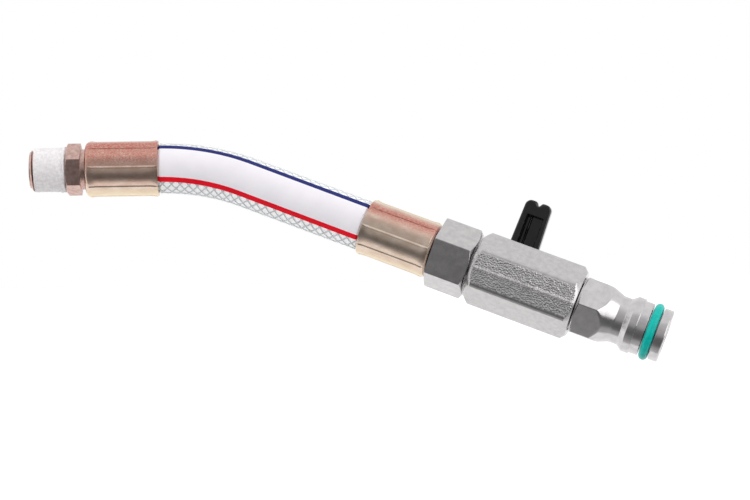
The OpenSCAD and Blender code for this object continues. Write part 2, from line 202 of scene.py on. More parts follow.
@dataclass
class Shell:
    """A mesh in the making.

    Args:
        points: places in metres, one row each.
        own: the same places in the piece's own axes, in millimetres, for patterns that follow the piece.
        tint: one number per point, for the finish to read.
        quads: corners of the four-sided faces.
        tris: corners of the three-sided faces.
    """

    points: np.ndarray
    own: np.ndarray
    tint: np.ndarray
    quads: np.ndarray
    tris: np.ndarray = field(default_factory=lambda: np.zeros((0, 3), int))


def corners_of(rows: int, cols: int, ring_rows: bool, ring_cols: bool) -> np.ndarray:
    """Corners of the faces of a grid: each face joins a point to its right, upper right and upper neighbours.

    Args:
        rows: number of rows.
        cols: number of columns.
        ring_rows: whether the last row joins the first.
        ring_cols: whether the last column joins the first.

    Returns:
        An array of four point numbers per face.
    """
    index = np.arange(rows * cols).reshape(rows, cols)
    ahead = np.roll(index, -1, axis=0)
    right = np.roll(index, -1, axis=1)
    both = np.roll(ahead, -1, axis=1)
    faces = np.stack([index, right, both, ahead], axis=-1)
    faces = faces[: rows if ring_rows else rows - 1, : cols if ring_cols else cols - 1]
    return faces.reshape(-1, 4)


def tube(
    points: np.ndarray, own: np.ndarray, ring_rows: bool = True, tint: np.ndarray | float = 0.0
) -> Shell:
    """A closed skin over a grid whose columns close on themselves.

    Args:
        points: rows, columns and places, in metres.
        own: the same grid in the piece's own axes, in millimetres.
        ring_rows: whether the rows close too; if not, each end gets a fan of triangles.
        tint: one number per grid point, or one for all.

    Returns:
        The shell.
    """
    rows, cols, _ = points.shape
    flat, owned = points.reshape(-1, 3), own.reshape(-1, 3)
    values = np.broadcast_to(tint, (rows, cols)).reshape(-1)
    quads = corners_of(rows, cols, ring_rows, True)
    if ring_rows:
        return Shell(flat, owned, values, quads)
    first = np.arange(cols)
    last = first + (rows - 1) * cols
    hubs = [np.array([grid[0].mean(0), grid[-1].mean(0)]) for grid in (points, own)]
    start = np.stack([np.full(cols, rows * cols), np.roll(first, -1), first], axis=-1)
    end = np.stack([np.full(cols, rows * cols + 1), last, np.roll(last, -1)], axis=-1)
    flat, owned = np.vstack([flat, hubs[0]]), np.vstack([owned, hubs[1]])
    return Shell(flat, owned, np.append(values, values[[0, -1]]), quads, np.vstack([start, end]))


def signed_volume(shell: Shell) -> float:
    """Volume inside a shell, negative if its faces point inwards."""
    p = shell.points
    fans = np.vstack([shell.quads[:, [0, 1, 2]], shell.quads[:, [0, 2, 3]], shell.tris])
    a, b, c = p[fans[:, 0]], p[fans[:, 1]], p[fans[:, 2]]
    return float(np.einsum("ij,ij->i", a - p.mean(0), np.cross(b - p.mean(0), c - p.mean(0))).sum())


def build_mesh(name: str, shells: list[Shell], sharp: float = 38.0) -> bpy.types.Object:
    """Makes one object of several closed shells, each turned to face outwards.

    Args:
        name: the piece's name.
        shells: its shells.
        sharp: angle between faces above which an edge is shaded sharp, in degrees.

    Returns:
        The object, linked to the scene.
    """
    base = 0
    quads, tris = [], []
    for shell in shells:
        flip = -1 if signed_volume(shell) < 0 else 1
        quads.append(shell.quads[:, ::flip] + base)
        tris.append(shell.tris[:, ::flip] + base)
        base += len(shell.points)
    all_quads, all_tris = np.vstack(quads), np.vstack(tris)
    sizes = np.concatenate([np.full(len(all_quads), 4), np.full(len(all_tris), 3)])
    loops = np.concatenate([all_quads.reshape(-1), all_tris.reshape(-1)])
    mesh = bpy.data.meshes.new(name)
    mesh.vertices.add(base)
    mesh.vertices.foreach_set("co", np.vstack([s.points for s in shells]).astype(np.float32).reshape(-1))
    mesh.loops.add(len(loops))
    mesh.loops.foreach_set("vertex_index", loops.astype(np.int32))
    mesh.polygons.add(len(sizes))
    mesh.polygons.foreach_set("loop_start", np.concatenate([[0], np.cumsum(sizes)[:-1]]).astype(np.int32))
    mesh.update(calc_edges=True)
    mesh.validate()
    tint = mesh.attributes.new("tint", "FLOAT", "POINT")
    tint.data.foreach_set("value", np.concatenate([s.tint for s in shells]).astype(np.float32))
    own = mesh.attributes.new("own", "FLOAT_VECTOR", "POINT")
    own.data.foreach_set("vector", (np.vstack([s.own for s in shells]) * MM).astype(np.float32).reshape(-1))
    mesh.polygons.foreach_set("use_smooth", np.ones(len(mesh.polygons), bool))
    mesh.set_sharp_from_angle(angle=math.radians(sharp))
    made = bpy.data.objects.new(name, mesh)
    bpy.context.scene.collection.objects.link(made)
    return made


def softened(corners: list[tuple[float, float]], radius: float) -> np.ndarray:
    """A closed outline with each corner rounded by a short parabola.

    Args:
        corners: stations and radii of the corners, in millimetres.
        radius: how far from a corner its rounding starts, at most half an edge.

    Returns:
        An array of stations and radii.
    """
    at = np.array(corners, float)
    back, ahead = np.roll(at, 1, axis=0) - at, np.roll(at, -1, axis=0) - at
    reach = [
        np.minimum(radius / np.maximum(np.linalg.norm(e, axis=1), 1e-9), 0.45)[:, None] for e in (back, ahead)
    ]
    start, end = at + back * reach[0], at + ahead * reach[1]
    t = np.linspace(0, 1, 5)[None, :, None]
    arcs = (1 - t) ** 2 * start[:, None] + 2 * t * (1 - t) * at[:, None] + t**2 * end[:, None]
    return arcs.reshape(-1, 2)


def stepped(outline: np.ndarray, step: float) -> np.ndarray:
    """A closed outline with points added so that no edge is longer than a step.

    Args:
        outline: stations and radii.
        step: the longest edge, in millimetres.

    Returns:
        The finer outline.
    """
    ahead = np.roll(outline, -1, axis=0)
    counts = np.maximum(np.ceil(np.linalg.norm(ahead - outline, axis=1) / step), 1).astype(int)
    start = np.repeat(np.arange(len(outline)), counts)
    part = (np.arange(len(start)) - np.repeat(np.cumsum(counts) - counts, counts)) / np.repeat(counts, counts)
    return outline[start] + (ahead - outline)[start] * part[:, None]


def ring_angles(corners: np.ndarray, count: int = 240, reach: float = 2.6, fine: int = 9) -> np.ndarray:
    """Angles round an axis, even all round and closer together near a polygon's corners.

    Args:
        corners: angles of the corners, in degrees.
        count: number of even angles.
        reach: how far the close ones go, each way.
        fine: number of close ones at each corner.

    Returns:
        The sorted angles, in degrees.
    """
    even = np.linspace(0, 360, count, endpoint=False)
    close = (
        np.asarray(corners, float)[:, None] + np.linspace(-reach, reach, fine)[None, :]
    ).reshape(-1) % 360
    return np.unique(np.round(np.concatenate([even, close]), 3))


def turned(
    axes: Axes,
    station: np.ndarray,
    radius: np.ndarray,
    angle: np.ndarray,
    tint: np.ndarray | float = 0.0,
) -> Shell:
    """A closed skin at a radius and an angle round the x axis; the angle runs from the top to the front.

    Args:
        axes: the axes to turn round.
        station: distances along x, by row, the last row next to the first.
        radius: distances from x, by row and column.
        angle: angles in degrees, by column.
        tint: one number per grid point, or one for all.

    Returns:
        The shell.
    """
    station, radius, a = np.broadcast_arrays(station, radius, np.radians(angle))
    own = np.stack([station, -radius * np.sin(a), radius * np.cos(a)], axis=-1)
    return tube(axes.place(own), own, tint=tint)


def sleeve(axes: Axes, station: np.ndarray, outer: np.ndarray, inner: float, angle: np.ndarray) -> Shell:
    """A turned skin with a shaped outside and a plain bore.

    Args:
        axes: the axes to turn round.
        station: distances along x.
        outer: outer radii, by row and column.
        inner: the bore's radius.
        angle: angles in degrees.

    Returns:
        The shell.
    """
    there_and_back = np.concatenate([station, station[::-1]])[:, None]
    return turned(axes, there_and_back, np.vstack([outer, np.full_like(outer, inner)]), angle[None, :])


@dataclass(frozen=True)
class Flats:
    """The flat faces of a bar, with slightly rounded corners.

    Args:
        normals: the angle of each face's normal, in degrees from the top.
        depth: each face's distance from the axis, in millimetres.
        crisp: the power that joins the faces: the higher, the sharper the corners.
    """

    normals: tuple[float, ...]
    depth: tuple[float, ...]
    crisp: float = 160.0

    @classmethod
    def hexagon(cls, across: float, corner: float, crisp: float = 160.0) -> Flats:
        """Six faces, from the size across them and the angle of one corner."""
        return cls(tuple(corner + 30 + 60 * k for k in range(6)), (across / 2,) * 6, crisp)

    def corners(self) -> np.ndarray:
        """Angles half way between neighbouring faces' normals."""
        a = np.sort(np.array(self.normals) % 360)
        return (a + np.append(a[1:], a[0] + 360)) / 2

    def trimmed(self, radius: np.ndarray, angle: np.ndarray) -> np.ndarray:
        """The radius of a turned shape after its flats are cut.

        1/r^p is the sum of 1/turned^p and of (cos(angle from the normal)/depth)^p over the faces.
        """
        lean = np.cos(np.radians(angle[None, :] - np.array(self.normals)[:, None]))
        cuts = (np.maximum(lean, 0) / np.array(self.depth)[:, None]) ** self.crisp
        return (radius[:, None] ** -self.crisp + cuts.sum(0)[None, :]) ** (-1 / self.crisp)


def lathe(axes: Axes, outline: np.ndarray, flats: Flats | None = None, count: int = 144) -> Shell:
    """Turns a closed outline round x, and cuts flats if there are any.

    Args:
        axes: the axes to turn round.
        outline: stations and radii of the outline, in millimetres.
        flats: the flat faces of the piece.
        count: number of angles.

    Returns:
        The shell.
    """
    if flats is None:
        angle = np.linspace(0, 360, count, endpoint=False)
        radius = np.broadcast_to(outline[:, 1:], (len(outline), count))
    else:
        angle = ring_angles(flats.corners(), count)
        radius = flats.trimmed(outline[:, 1], angle)
    return turned(axes, outline[:, :1], radius, angle[None, :])


def smooth_step(x: np.ndarray, low: float, high: float) -> np.ndarray:
    """0 below low, 1 above high, and 3t^2 - 2t^3 between."""
    t = np.clip((x - low) / (high - low), 0, 1)
    return t * t * (3 - 2 * t)


def ripple(a: np.ndarray, b: np.ndarray, seed: int, waves: int = 24, fastest: float = 9.0) -> np.ndarray:
    """A smooth random field: a sum of sine waves of random direction and phase, about -1 to 1.

    Args:
        a: angle in turns, so that whole numbers of waves close on themselves.
        b: distance in turns of its own.
        seed: seed of the random numbers.
        waves: number of waves.
        fastest: most waves to a turn.

    Returns:
        The field at each point.
    """
    rng = np.random.default_rng(seed)
    total = np.zeros(np.broadcast(a, b).shape)
    for _ in range(waves):
        turns, speed = rng.integers(-int(fastest), int(fastest) + 1), rng.uniform(-fastest, fastest)
        total += np.sin(2 * np.pi * (turns * a + speed * b + rng.uniform())) / math.sqrt(waves)
    return total


# ---------------------------------------------------------------- finishes


def linear(code: str) -> tuple[float, float, float, float]:
    """Turns an sRGB hex colour into linear light, with full alpha."""
    parts = [int(code[i : i + 2], 16) / 255 for i in (1, 3, 5)]
    return (*[c / 12.92 if c <= 0.04045 else ((c + 0.055) / 1.055) ** 2.4 for c in parts], 1.0)


def add(tree: bpy.types.NodeTree, kind: str, links: dict | None = None, **settings: object) -> bpy.types.Node:
    """Adds a node with its settings, and sets or links its inputs.

    Args:
        tree: the node tree.
        kind: the node's type, without the word ShaderNode that all of them start with.
        links: a value or another node's output for each named or numbered input.
        settings: the node's own properties.

    Returns:
        The node.
    """
    made = tree.nodes.new(f"ShaderNode{kind}")
    for name, value in settings.items():
        setattr(made, name, value)
    for name, value in (links or {}).items():
        if isinstance(value, bpy.types.NodeSocket):
            tree.links.new(value, made.inputs[name])
        else:
            made.inputs[name].default_value = value
    return made


@dataclass(frozen=True)
class Finish:
    """A plain finish: one colour that varies a little over some millimetres.

    Args:
        label: the material's name.
        colour: its main colour.
        second: the colour that it varies to.
        patch: size of the variation, in millimetres.
        rough: roughness.
        metal: 1 for a metal.
        gloss: strength of a plastic's reflection, 0.5 being the usual.
        grain: size of the surface's fine grain, in millimetres.
        relief: height of the grain, in millimetres.
        stretch: scale of the pattern along x, y and z.
        follows: whether the pattern lies in the piece's own axes, and bends with it.
        glow: painted light: an emission that stands in for light coming through a clear plastic from behind.
    """

    label: str
    colour: str
    second: str
    patch: float = 3.0
    rough: float = 0.4
    metal: float = 0.0
    gloss: float = 0.5
    grain: float = 0.5
    relief: float = 0.01
    stretch: tuple[float, float, float] = (1.0, 1.0, 1.0)
    follows: bool = True
    glow: float = 0.0

    def where(self, tree: bpy.types.NodeTree) -> bpy.types.NodeSocket:
        """The place on the piece, in metres."""
        if self.follows:
            return add(tree, "Attribute", attribute_name="own").outputs["Vector"]
        return add(tree, "TexCoord").outputs["Object"]

    def place(self, tree: bpy.types.NodeTree) -> bpy.types.NodeSocket:
        """The place on the piece, stretched."""
        return add(tree, "Mapping", {"Vector": self.where(tree), "Scale": self.stretch}).outputs["Vector"]

    def noise(self, tree: bpy.types.NodeTree, size: float, detail: float = 3.0) -> bpy.types.NodeSocket:
        """Noise whose lumps are about this many millimetres across."""
        made = add(tree, "TexNoise", {"Vector": self.place(tree), "Scale": 1 / (size * MM), "Detail": detail})
        return made.outputs["Fac"]

    def tone(self, tree: bpy.types.NodeTree) -> bpy.types.NodeSocket:
        """The finish's colour at each place."""
        share = add(tree, "MapRange", {0: self.noise(tree, self.patch), 1: 0.35, 2: 0.65})
        mix = add(
            tree, "Mix", {0: share.outputs[0], 6: linear(self.colour), 7: linear(self.second)},
            data_type="RGBA",
        )
        return mix.outputs[2]

    def normal(self, tree: bpy.types.NodeTree) -> bpy.types.NodeSocket:
        """The surface's direction with its grain."""
        made = add(
            tree,
            "Bump",
            {"Height": self.noise(tree, self.grain), "Distance": self.relief * MM, "Strength": 1.0},
        )
        return made.outputs["Normal"]

    def shade(self, tree: bpy.types.NodeTree) -> bpy.types.Node:
        """The shader itself."""
        return add(
            tree,
            "BsdfPrincipled",
            {
                "Base Color": self.tone(tree),
                "Metallic": self.metal,
                "Roughness": self.rough,
                "Specular IOR Level": self.gloss,
                "Normal": self.normal(tree),
                "Emission Color": linear(self.colour),
                "Emission Strength": self.glow,
            },
        )

    def material(self) -> bpy.types.Material:
        """Builds the material, or returns it if it is there already."""
        made = bpy.data.materials.get(self.label)
        if made is not None:
            return made
        made = bpy.data.materials.new(self.label)
        made.use_nodes = True
        made.node_tree.nodes.clear()
        shader = self.shade(made.node_tree)
        add(made.node_tree, "OutputMaterial", {"Surface": shader.outputs[0]})
        return made


@dataclass(frozen=True)
class CrimpedZinc(Finish):
    """Yellow-passivated zinc plate: glossy beige, with painted reflections in rose and gold laid on by the
    tint attribute.

    Args:
        gold: colour of the painted reflection where the tint attribute is -1.
        rose: colour of the painted reflection where the tint attribute is 1.
        fleck: size of the flecks that break up the painted reflections, in millimetres.
    """

    gold: str = "#ead9b0"
    rose: str = "#bf6a60"
    fleck: float = 0.3

    def tone(self, tree: bpy.types.NodeTree) -> bpy.types.NodeSocket:
        """Beige, towards the painted rose or gold reflection by the tint attribute, each in flecks."""
        base = Finish.tone(self, tree)
        painted_reflection = add(tree, "Attribute", attribute_name="tint").outputs["Fac"]
        flecks = add(tree, "MapRange", {0: self.noise(tree, self.fleck, 5.0), 1: 0.3, 2: 0.6, 3: 0.35})
        # painted reflections: rose where the tint is above 0, gold where it is below
        for side, colour in ((1.0, self.rose), (-1.0, self.gold)):
            share = add(tree, "Math", {0: painted_reflection, 1: side}, operation="MULTIPLY", use_clamp=True)
            worn = add(tree, "Math", {0: share.outputs[0], 1: flecks.outputs[0]}, operation="MULTIPLY")
            base = add(
                tree, "Mix", {0: worn.outputs[0], 6: base, 7: linear(colour)}, data_type="RGBA"
            ).outputs[2]
        return base


@dataclass(frozen=True)
class ForgedNickel(Finish):
    """Nickel plate over grit-blasted brass.

    The grit is coarse and glitters where the tint attribute is high; elsewhere the plate is smooth.

    Args:
        grit: size of the grit, in millimetres.
        grit_relief: height of the grit, in millimetres.
        grit_rough: roughness of the grit's facets.
    """

    grit: float = 0.5
    grit_relief: float = 0.2
    grit_rough: float = 0.28

    def normal(self, tree: bpy.types.NodeTree) -> bpy.types.NodeSocket:
        """Grit by the tint attribute over the finer grain."""
        fine = Finish.normal(self, tree)
        blast = add(tree, "Attribute", attribute_name="tint")
        lumps = add(tree, "TexVoronoi", {"Vector": self.place(tree), "Scale": 1 / (self.grit * MM)})
        height = add(
            tree, "Math", {0: lumps.outputs["Distance"], 1: blast.outputs["Fac"]}, operation="MULTIPLY"
        )
        made = add(
            tree,
            "Bump",
            {"Height": height.outputs[0], "Distance": self.grit_relief * MM, "Strength": 1.0, "Normal": fine},
        )
        return made.outputs["Normal"]

    def shade(self, tree: bpy.types.NodeTree) -> bpy.types.Node:
        """Metal whose roughness rises where it is blasted."""
        shader = Finish.shade(self, tree)
        blast = add(tree, "Attribute", attribute_name="tint")
        rough = add(tree, "MapRange", {0: blast.outputs["Fac"], 3: self.rough, 4: self.grit_rough})
        tree.links.new(rough.outputs[0], shader.inputs["Roughness"])
        return shader


@dataclass(frozen=True)
class TurnedMetal(Finish):
    """A turned and plated metal with fine rings round its axis.

    Real rings are finer than a tenth of a millimetre; these are drawn at 0.3 mm, so that they show.

    Args:
        axis: direction of the axis.
        ring: spacing of the rings, in millimetres.
        ring_relief: height of the rings, in millimetres.
    """

    axis: tuple[float, float, float] = (1.0, 0.0, 0.0)
    ring: float = 0.3
    ring_relief: float = 0.004

    def normal(self, tree: bpy.types.NodeTree) -> bpy.types.NodeSocket:
        """Rings at even stations along the axis, over the finer grain."""
        fine = Finish.normal(self, tree)
        along = add(tree, "VectorMath", {0: self.where(tree), 1: self.axis}, operation="DOT_PRODUCT")
        station = add(
            tree, "Math", {0: along.outputs["Value"], 1: 1 / (self.ring * MM)}, operation="MULTIPLY"
        )
        rings = add(tree, "TexNoise", {"W": station.outputs[0], "Scale": 1.0}, noise_dimensions="1D")
        made = add(
            tree,
            "Bump",
            {
                "Height": rings.outputs["Fac"], "Distance": self.ring_relief * MM, "Strength": 1.0,
                "Normal": fine,
            },
        )
        return made.outputs["Normal"]


@dataclass(frozen=True)
class ClearSkin(Finish):
    """Clear plasticised PVC: seen through when looked at squarely, milky and glossy at a glancing angle.

    Args:
        clear: share that hides what is behind, seen squarely.
        edge: share that hides it at a glancing angle.
    """

    clear: float = 0.01
    edge: float = 0.12

    def shade(self, tree: bpy.types.NodeTree) -> bpy.types.Node:
        """A glossy white skin whose alpha rises towards the edges."""
        shader = Finish.shade(self, tree)
        glance = add(tree, "LayerWeight", {"Blend": 0.35})
        alpha = add(tree, "MapRange", {0: glance.outputs["Facing"], 3: self.clear, 4: self.edge})
        tree.links.new(alpha.outputs[0], shader.inputs["Alpha"])
        return shader


class Look(Enum):
    """The finishes of the assembly.

    Metals keep the default IOR, and each roughness is matched to the real finish.
    """

    # zinc plate with a dark passivation: dull, brownish, lightly tumbled
    ZINC_STEEL = Finish(
        "zinc_plated_steel", "#d3b4ac", "#b99990", 1.2, 0.3, 1.0, grain=0.25, relief=0.006, follows=False
    )
    # yellow zinc passivation on pressed steel: glossy beige, scratched along the press stroke; the gold and
    # rose are painted reflections, laid by angle round each sleeve
    YELLOW_ZINC = CrimpedZinc(
        "yellow_zinc_plate", "#e2cfc0", "#d3bcaa", 2.2, 0.27, 1.0, grain=0.22, relief=0.016,
        stretch=(0.55, 1.0, 1.0)
    )
    # PTFE film wound on a thread: white, waxy, with soft creases
    TAPE = Finish("ptfe_tape", "#f2eff0", "#e2dcde", 0.8, 0.5, grain=0.35, relief=0.05)
    # clear PVC: glossy and slightly milky
    CLEAR_PVC = ClearSkin("clear_hose_cover", "#f4f6f6", "#eceff0", 4.0, 0.16, grain=1.5)
    # the clear liner seen through the cover: pale, milky, with a painted glow that stands in for light coming
    # through it from behind
    MILKY_PVC = Finish("milky_hose_liner", "#fbfafb", "#f5f5f6", 2.5, 0.35, grain=0.8, glow=0.2)
    # polyester yarn: grey, dull
    YARN = Finish("polyester_yarn", "#dee1e3", "#ced3d6", 0.7, 0.6, gloss=0.2, grain=0.15, relief=0.02)
    # pigmented PVC stripes, extruded with the clear: smooth, with a weak shine
    WHITE_PVC = Finish("opaque_white_pvc", "#f4f0f5", "#f0ecf2", 6.0, 0.4, gloss=0.3, grain=2.0)
    BLUE_PVC = Finish("opaque_blue_pvc", "#232c74", "#1f276a", 6.0, 0.45, gloss=0.15, grain=2.0)
    RED_PVC = Finish("opaque_red_pvc", "#f0142a", "#e41026", 6.0, 0.45, gloss=0.15, grain=2.0)
    # nickel plate over a blasted forging: bright facets of grit
    FORGED = ForgedNickel(
        "nickel_plated_forging", "#c8c6c6", "#bcbaba", 1.5, 0.24, 1.0, grain=0.3, relief=0.003
    )
    # nickel plate over drawn hexagon brass: smooth flats, faint draw lines
    NUT = TurnedMetal("nickel_plated_brass", "#cbc8c8", "#bcb9ba", 2.0, 0.22, 1.0, grain=0.3, relief=0.004)
    # bright nickel over turned steel
    PLUG = TurnedMetal("bright_nickel_steel", "#d0cdcf", "#c4c1c2", 2.0, 0.18, 1.0, grain=0.35, relief=0.003)
    # glass-filled nylon, moulded: black, glossy, a faint orange peel
    NYLON = Finish("moulded_nylon", "#0a0a0b", "#121213", 1.5, 0.14, grain=0.7, relief=0.02)
    # fluorocarbon rubber ring, greased
    TEAL_RUBBER = Finish(
        "greased_teal_rubber", "#00bfb4", "#00b0a6", 1.5, 0.3, gloss=0.25, grain=0.6, relief=0.008
    )
    # moulded rubber seals: black and dull
    BLACK_RUBBER = Finish("moulded_black_rubber", "#19191a", "#222223", 1.0, 0.55, grain=0.3, follows=False)
    # machined PTFE seats: white and waxy, with a soft shine
    PTFE = Finish("ptfe_seat", "#efefea", "#e6e5df", 2.0, 0.4, follows=False)
    # chromed and polished ball: a clear mirror
    BALL = Finish(
        "polished_ball", "#dcdcde", "#d2d2d4", 3.0, 0.08, 1.0, grain=0.6, relief=0.001, follows=False
    )
    # turned brass stem: yellow, with faint tool marks
    BRASS = Finish(
        "turned_brass", "#c9a766", "#b8965a", 1.0, 0.28, 1.0, grain=0.3, relief=0.004, follows=False
    )
    # bright zinc on wire and screw: grey, lightly dulled
    STEEL = Finish(
        "bright_zinc_steel", "#bdbcba", "#a9a8a6", 0.8, 0.3, 1.0, grain=0.2, relief=0.004, follows=False
    )
    # nickel on the screwed insert: the nut's plate without its rings
    INSERT = Finish(
        "nickel_insert", "#cbc8c8", "#bcb9ba", 2.0, 0.22, 1.0, grain=0.3, relief=0.004, follows=False
    )


@dataclass(frozen=True)
class Dresser:
    """Puts finished pieces on their bodies and logs them."""

    def dress(self, piece: bpy.types.Object, look: Look, nodes: tuple[str, ...]) -> None:
        """Gives a piece its finish, hides the CAD nodes that it stands for, and logs them.

        Args:
            piece: the object.
            look: its finish.
            nodes: names of the CAD nodes.
        """
        piece.data.materials.clear()
        piece.data.materials.append(look.value.material())
        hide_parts(*nodes)
        LOG.info("%s: %d faces for %s", piece.name, len(piece.data.polygons), ", ".join(nodes))

    def rigid(self, piece: bpy.types.Object, body: str, look: Look, slot: str, *nodes: str) -> None:
        """A piece that moves with one body."""
        self.dress(piece, look, nodes)
        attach(piece, body)

    def carried(self, node: bpy.types.Object, look: Look) -> None:
        """A CAD node that is shown as it is, with a better finish."""
        node.data.materials.clear()
        node.data.materials.append(look.value.material())
        LOG.info("%s: carried over", node.name)


# ---------------------------------------------------------------- hose


@dataclass(frozen=True)
class BraidedHose:
    """The hose: milky liner, net of yarns, clear cover, and an opaque white band between two stripes."""

    layout: Layout
    cover_r: float = 8.0
    # the cover bends no light, so the yarns and the liner stand where real PVC's refraction would show them
    yarn_r: float = 7.55
    liner_r: float = 7.4
    bore_r: float = 5.0
    squeezed: tuple[float, float, float, float] = (7.5, 6.72, 6.6, 5.45)
    squeeze_run: float = 0.8
    yarns: int = 12
    yarn_pitch: float = 3.0
    yarn_wide: float = 0.42
    yarn_thick: float = 0.2
    band_middle: float = -11.0
    band_angle: float = 80.0
    stripe_angle: float = 12.0
    band_twist: float = 3.7

    @property
    def held(self) -> float:
        """Length of hose inside each ferrule."""
        return self.layout.ferrule_len - self.layout.tail_cover

    def stations(self, step: float) -> np.ndarray:
        """Distances along the centre line, close together where the hose swells at each ferrule."""
        free = self.layout.free_len
        swell = np.linspace(-0.2, self.squeeze_run + 0.4, 9)
        inside = np.linspace(-self.held, -0.4, 6)
        return np.unique(
            np.concatenate([inside, swell, np.arange(2, free - 2, step), free - swell, free - inside])
        )

    def wall(self, run: np.ndarray, free: float, held: float) -> np.ndarray:
        """Radius of a wall along the hose: it swells from its crimped to its free size at each mouth."""
        depth = np.minimum(run, self.layout.free_len - run)
        return held + (free - held) * smooth_step(depth, -0.1, self.squeeze_run)

    def skin(self, run: np.ndarray, radius: np.ndarray, angle: np.ndarray, ring_rows: bool = False) -> Shell:
        """A skin round the centre line; the angle runs from the bend's outer side to the back.

        Args:
            run: distances along the line, one per row.
            radius: radii, by row and column.
            angle: angles in degrees, by row and column.
            ring_rows: whether the last row joins the first.

        Returns:
            The shell.
        """
        middle, outer, across = self.layout.centre_line(run)
        run, radius, a = np.broadcast_arrays(run[:, None], radius, np.radians(angle))
        own = np.stack([run, radius * np.cos(a), radius * np.sin(a)], axis=-1)
        points = middle[:, None] + own[..., 1:2] * outer[:, None] + own[..., 2:] * across[:, None]
        return tube(points * MM, own, ring_rows)

    def twisted(self, run: np.ndarray) -> np.ndarray:
        """Angle by which the stripes wander along the hose."""
        return -self.band_twist * (run / self.layout.free_len - 0.5)

    def sector(self, start: float, end: float) -> Shell:
        """A stretch of the cover between two angles, as a closed skin."""
        run = self.stations(1.5)
        turn = np.linspace(start, end, max(int((end - start) / 4), 4))
        angle = np.concatenate([turn, turn[::-1]])[None, :] + self.twisted(run)[:, None]
        outer = self.wall(run, self.cover_r, self.squeezed[0])[:, None]
        inner = self.wall(run, self.liner_r + 0.36, self.squeezed[1])[:, None]
        side = np.concatenate([np.ones(len(turn)), np.zeros(len(turn))])[None, :]
        return self.skin(run, inner + (outer - inner) * side, angle)

    def liner(self) -> Shell:
        """The inner tube with its bore."""
        run = self.stations(1.5)
        angle = np.linspace(0, 360, 72, endpoint=False)[None, :]
        outer = self.wall(run, self.liner_r, self.squeezed[2])
        inner = self.wall(run, self.bore_r, self.squeezed[3])
        radius = np.concatenate([outer, inner[::-1]])[:, None]
        return self.skin(np.concatenate([run, run[::-1]]), radius, angle, ring_rows=True)

    def yarn(self, number: int, way: int) -> Shell:
        """One flat yarn, wound as a helix that rides over and under those of the other way."""
        run = np.arange(-self.held + 0.5, self.layout.free_len + self.held - 0.5, 0.75)
        lead = self.yarns * self.yarn_pitch
        wind = 360 * number / self.yarns + way * 360 * run / lead
        lift = 0.06 * way * np.cos(np.radians(self.yarns * way * 360 * run / lead + 180 * number))
        middle = self.wall(run, self.yarn_r, 6.68) + lift
        round_yarn = np.radians(np.linspace(0, 360, 6, endpoint=False))
        wide = np.degrees(self.yarn_wide / self.yarn_r) * np.cos(round_yarn)[None, :]
        thick = self.yarn_thick / 2 * np.sin(round_yarn)[None, :]
        return self.skin(run, middle[:, None] + thick, wind[:, None] + wide)

    def build(self, dresser: Dresser) -> None:
        """Makes the six layers along the bent centre line between the two ferrules."""
        middle = -90 - self.band_middle - self.layout.bend_tilt
        blue = middle + self.band_angle / 2
        red = middle - self.band_angle / 2
        half = self.stripe_angle / 2
        net = [self.yarn(k, way) for k in range(self.yarns) for way in (-1, 1)]
        parts = [
            ("clear_liner", [self.liner()], Look.MILKY_PVC, "clear_pvc", "hose_liner"),
            ("yarn_net", net, Look.YARN, "yarn", "hose_braid"),
            (
                "clear_cover", [self.sector(blue + half, red - half + 360)], Look.CLEAR_PVC, "clear_pvc",
                "hose_cover",
            ),
            (
                "white_band", [self.sector(red + half, blue - half)], Look.WHITE_PVC, "white_pvc",
                "hose_white_band",
            ),
            (
                "blue_stripe", [self.sector(blue - half, blue + half)], Look.BLUE_PVC, "blue_pvc",
                "hose_blue_stripe",
            ),
            ("red_stripe", [self.sector(red - half, red + half)], Look.RED_PVC, "red_pvc", "hose_red_stripe"),
        ]
        ends, _, _ = self.layout.centre_line(np.array([0.5, self.layout.free_len - 0.5]))
        for name, shells, look, slot, node in parts:
            piece = build_mesh(name, shells)
            dresser.dress(piece, look, (node,))
            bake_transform(piece)


# ---------------------------------------------------------------- crimped ends


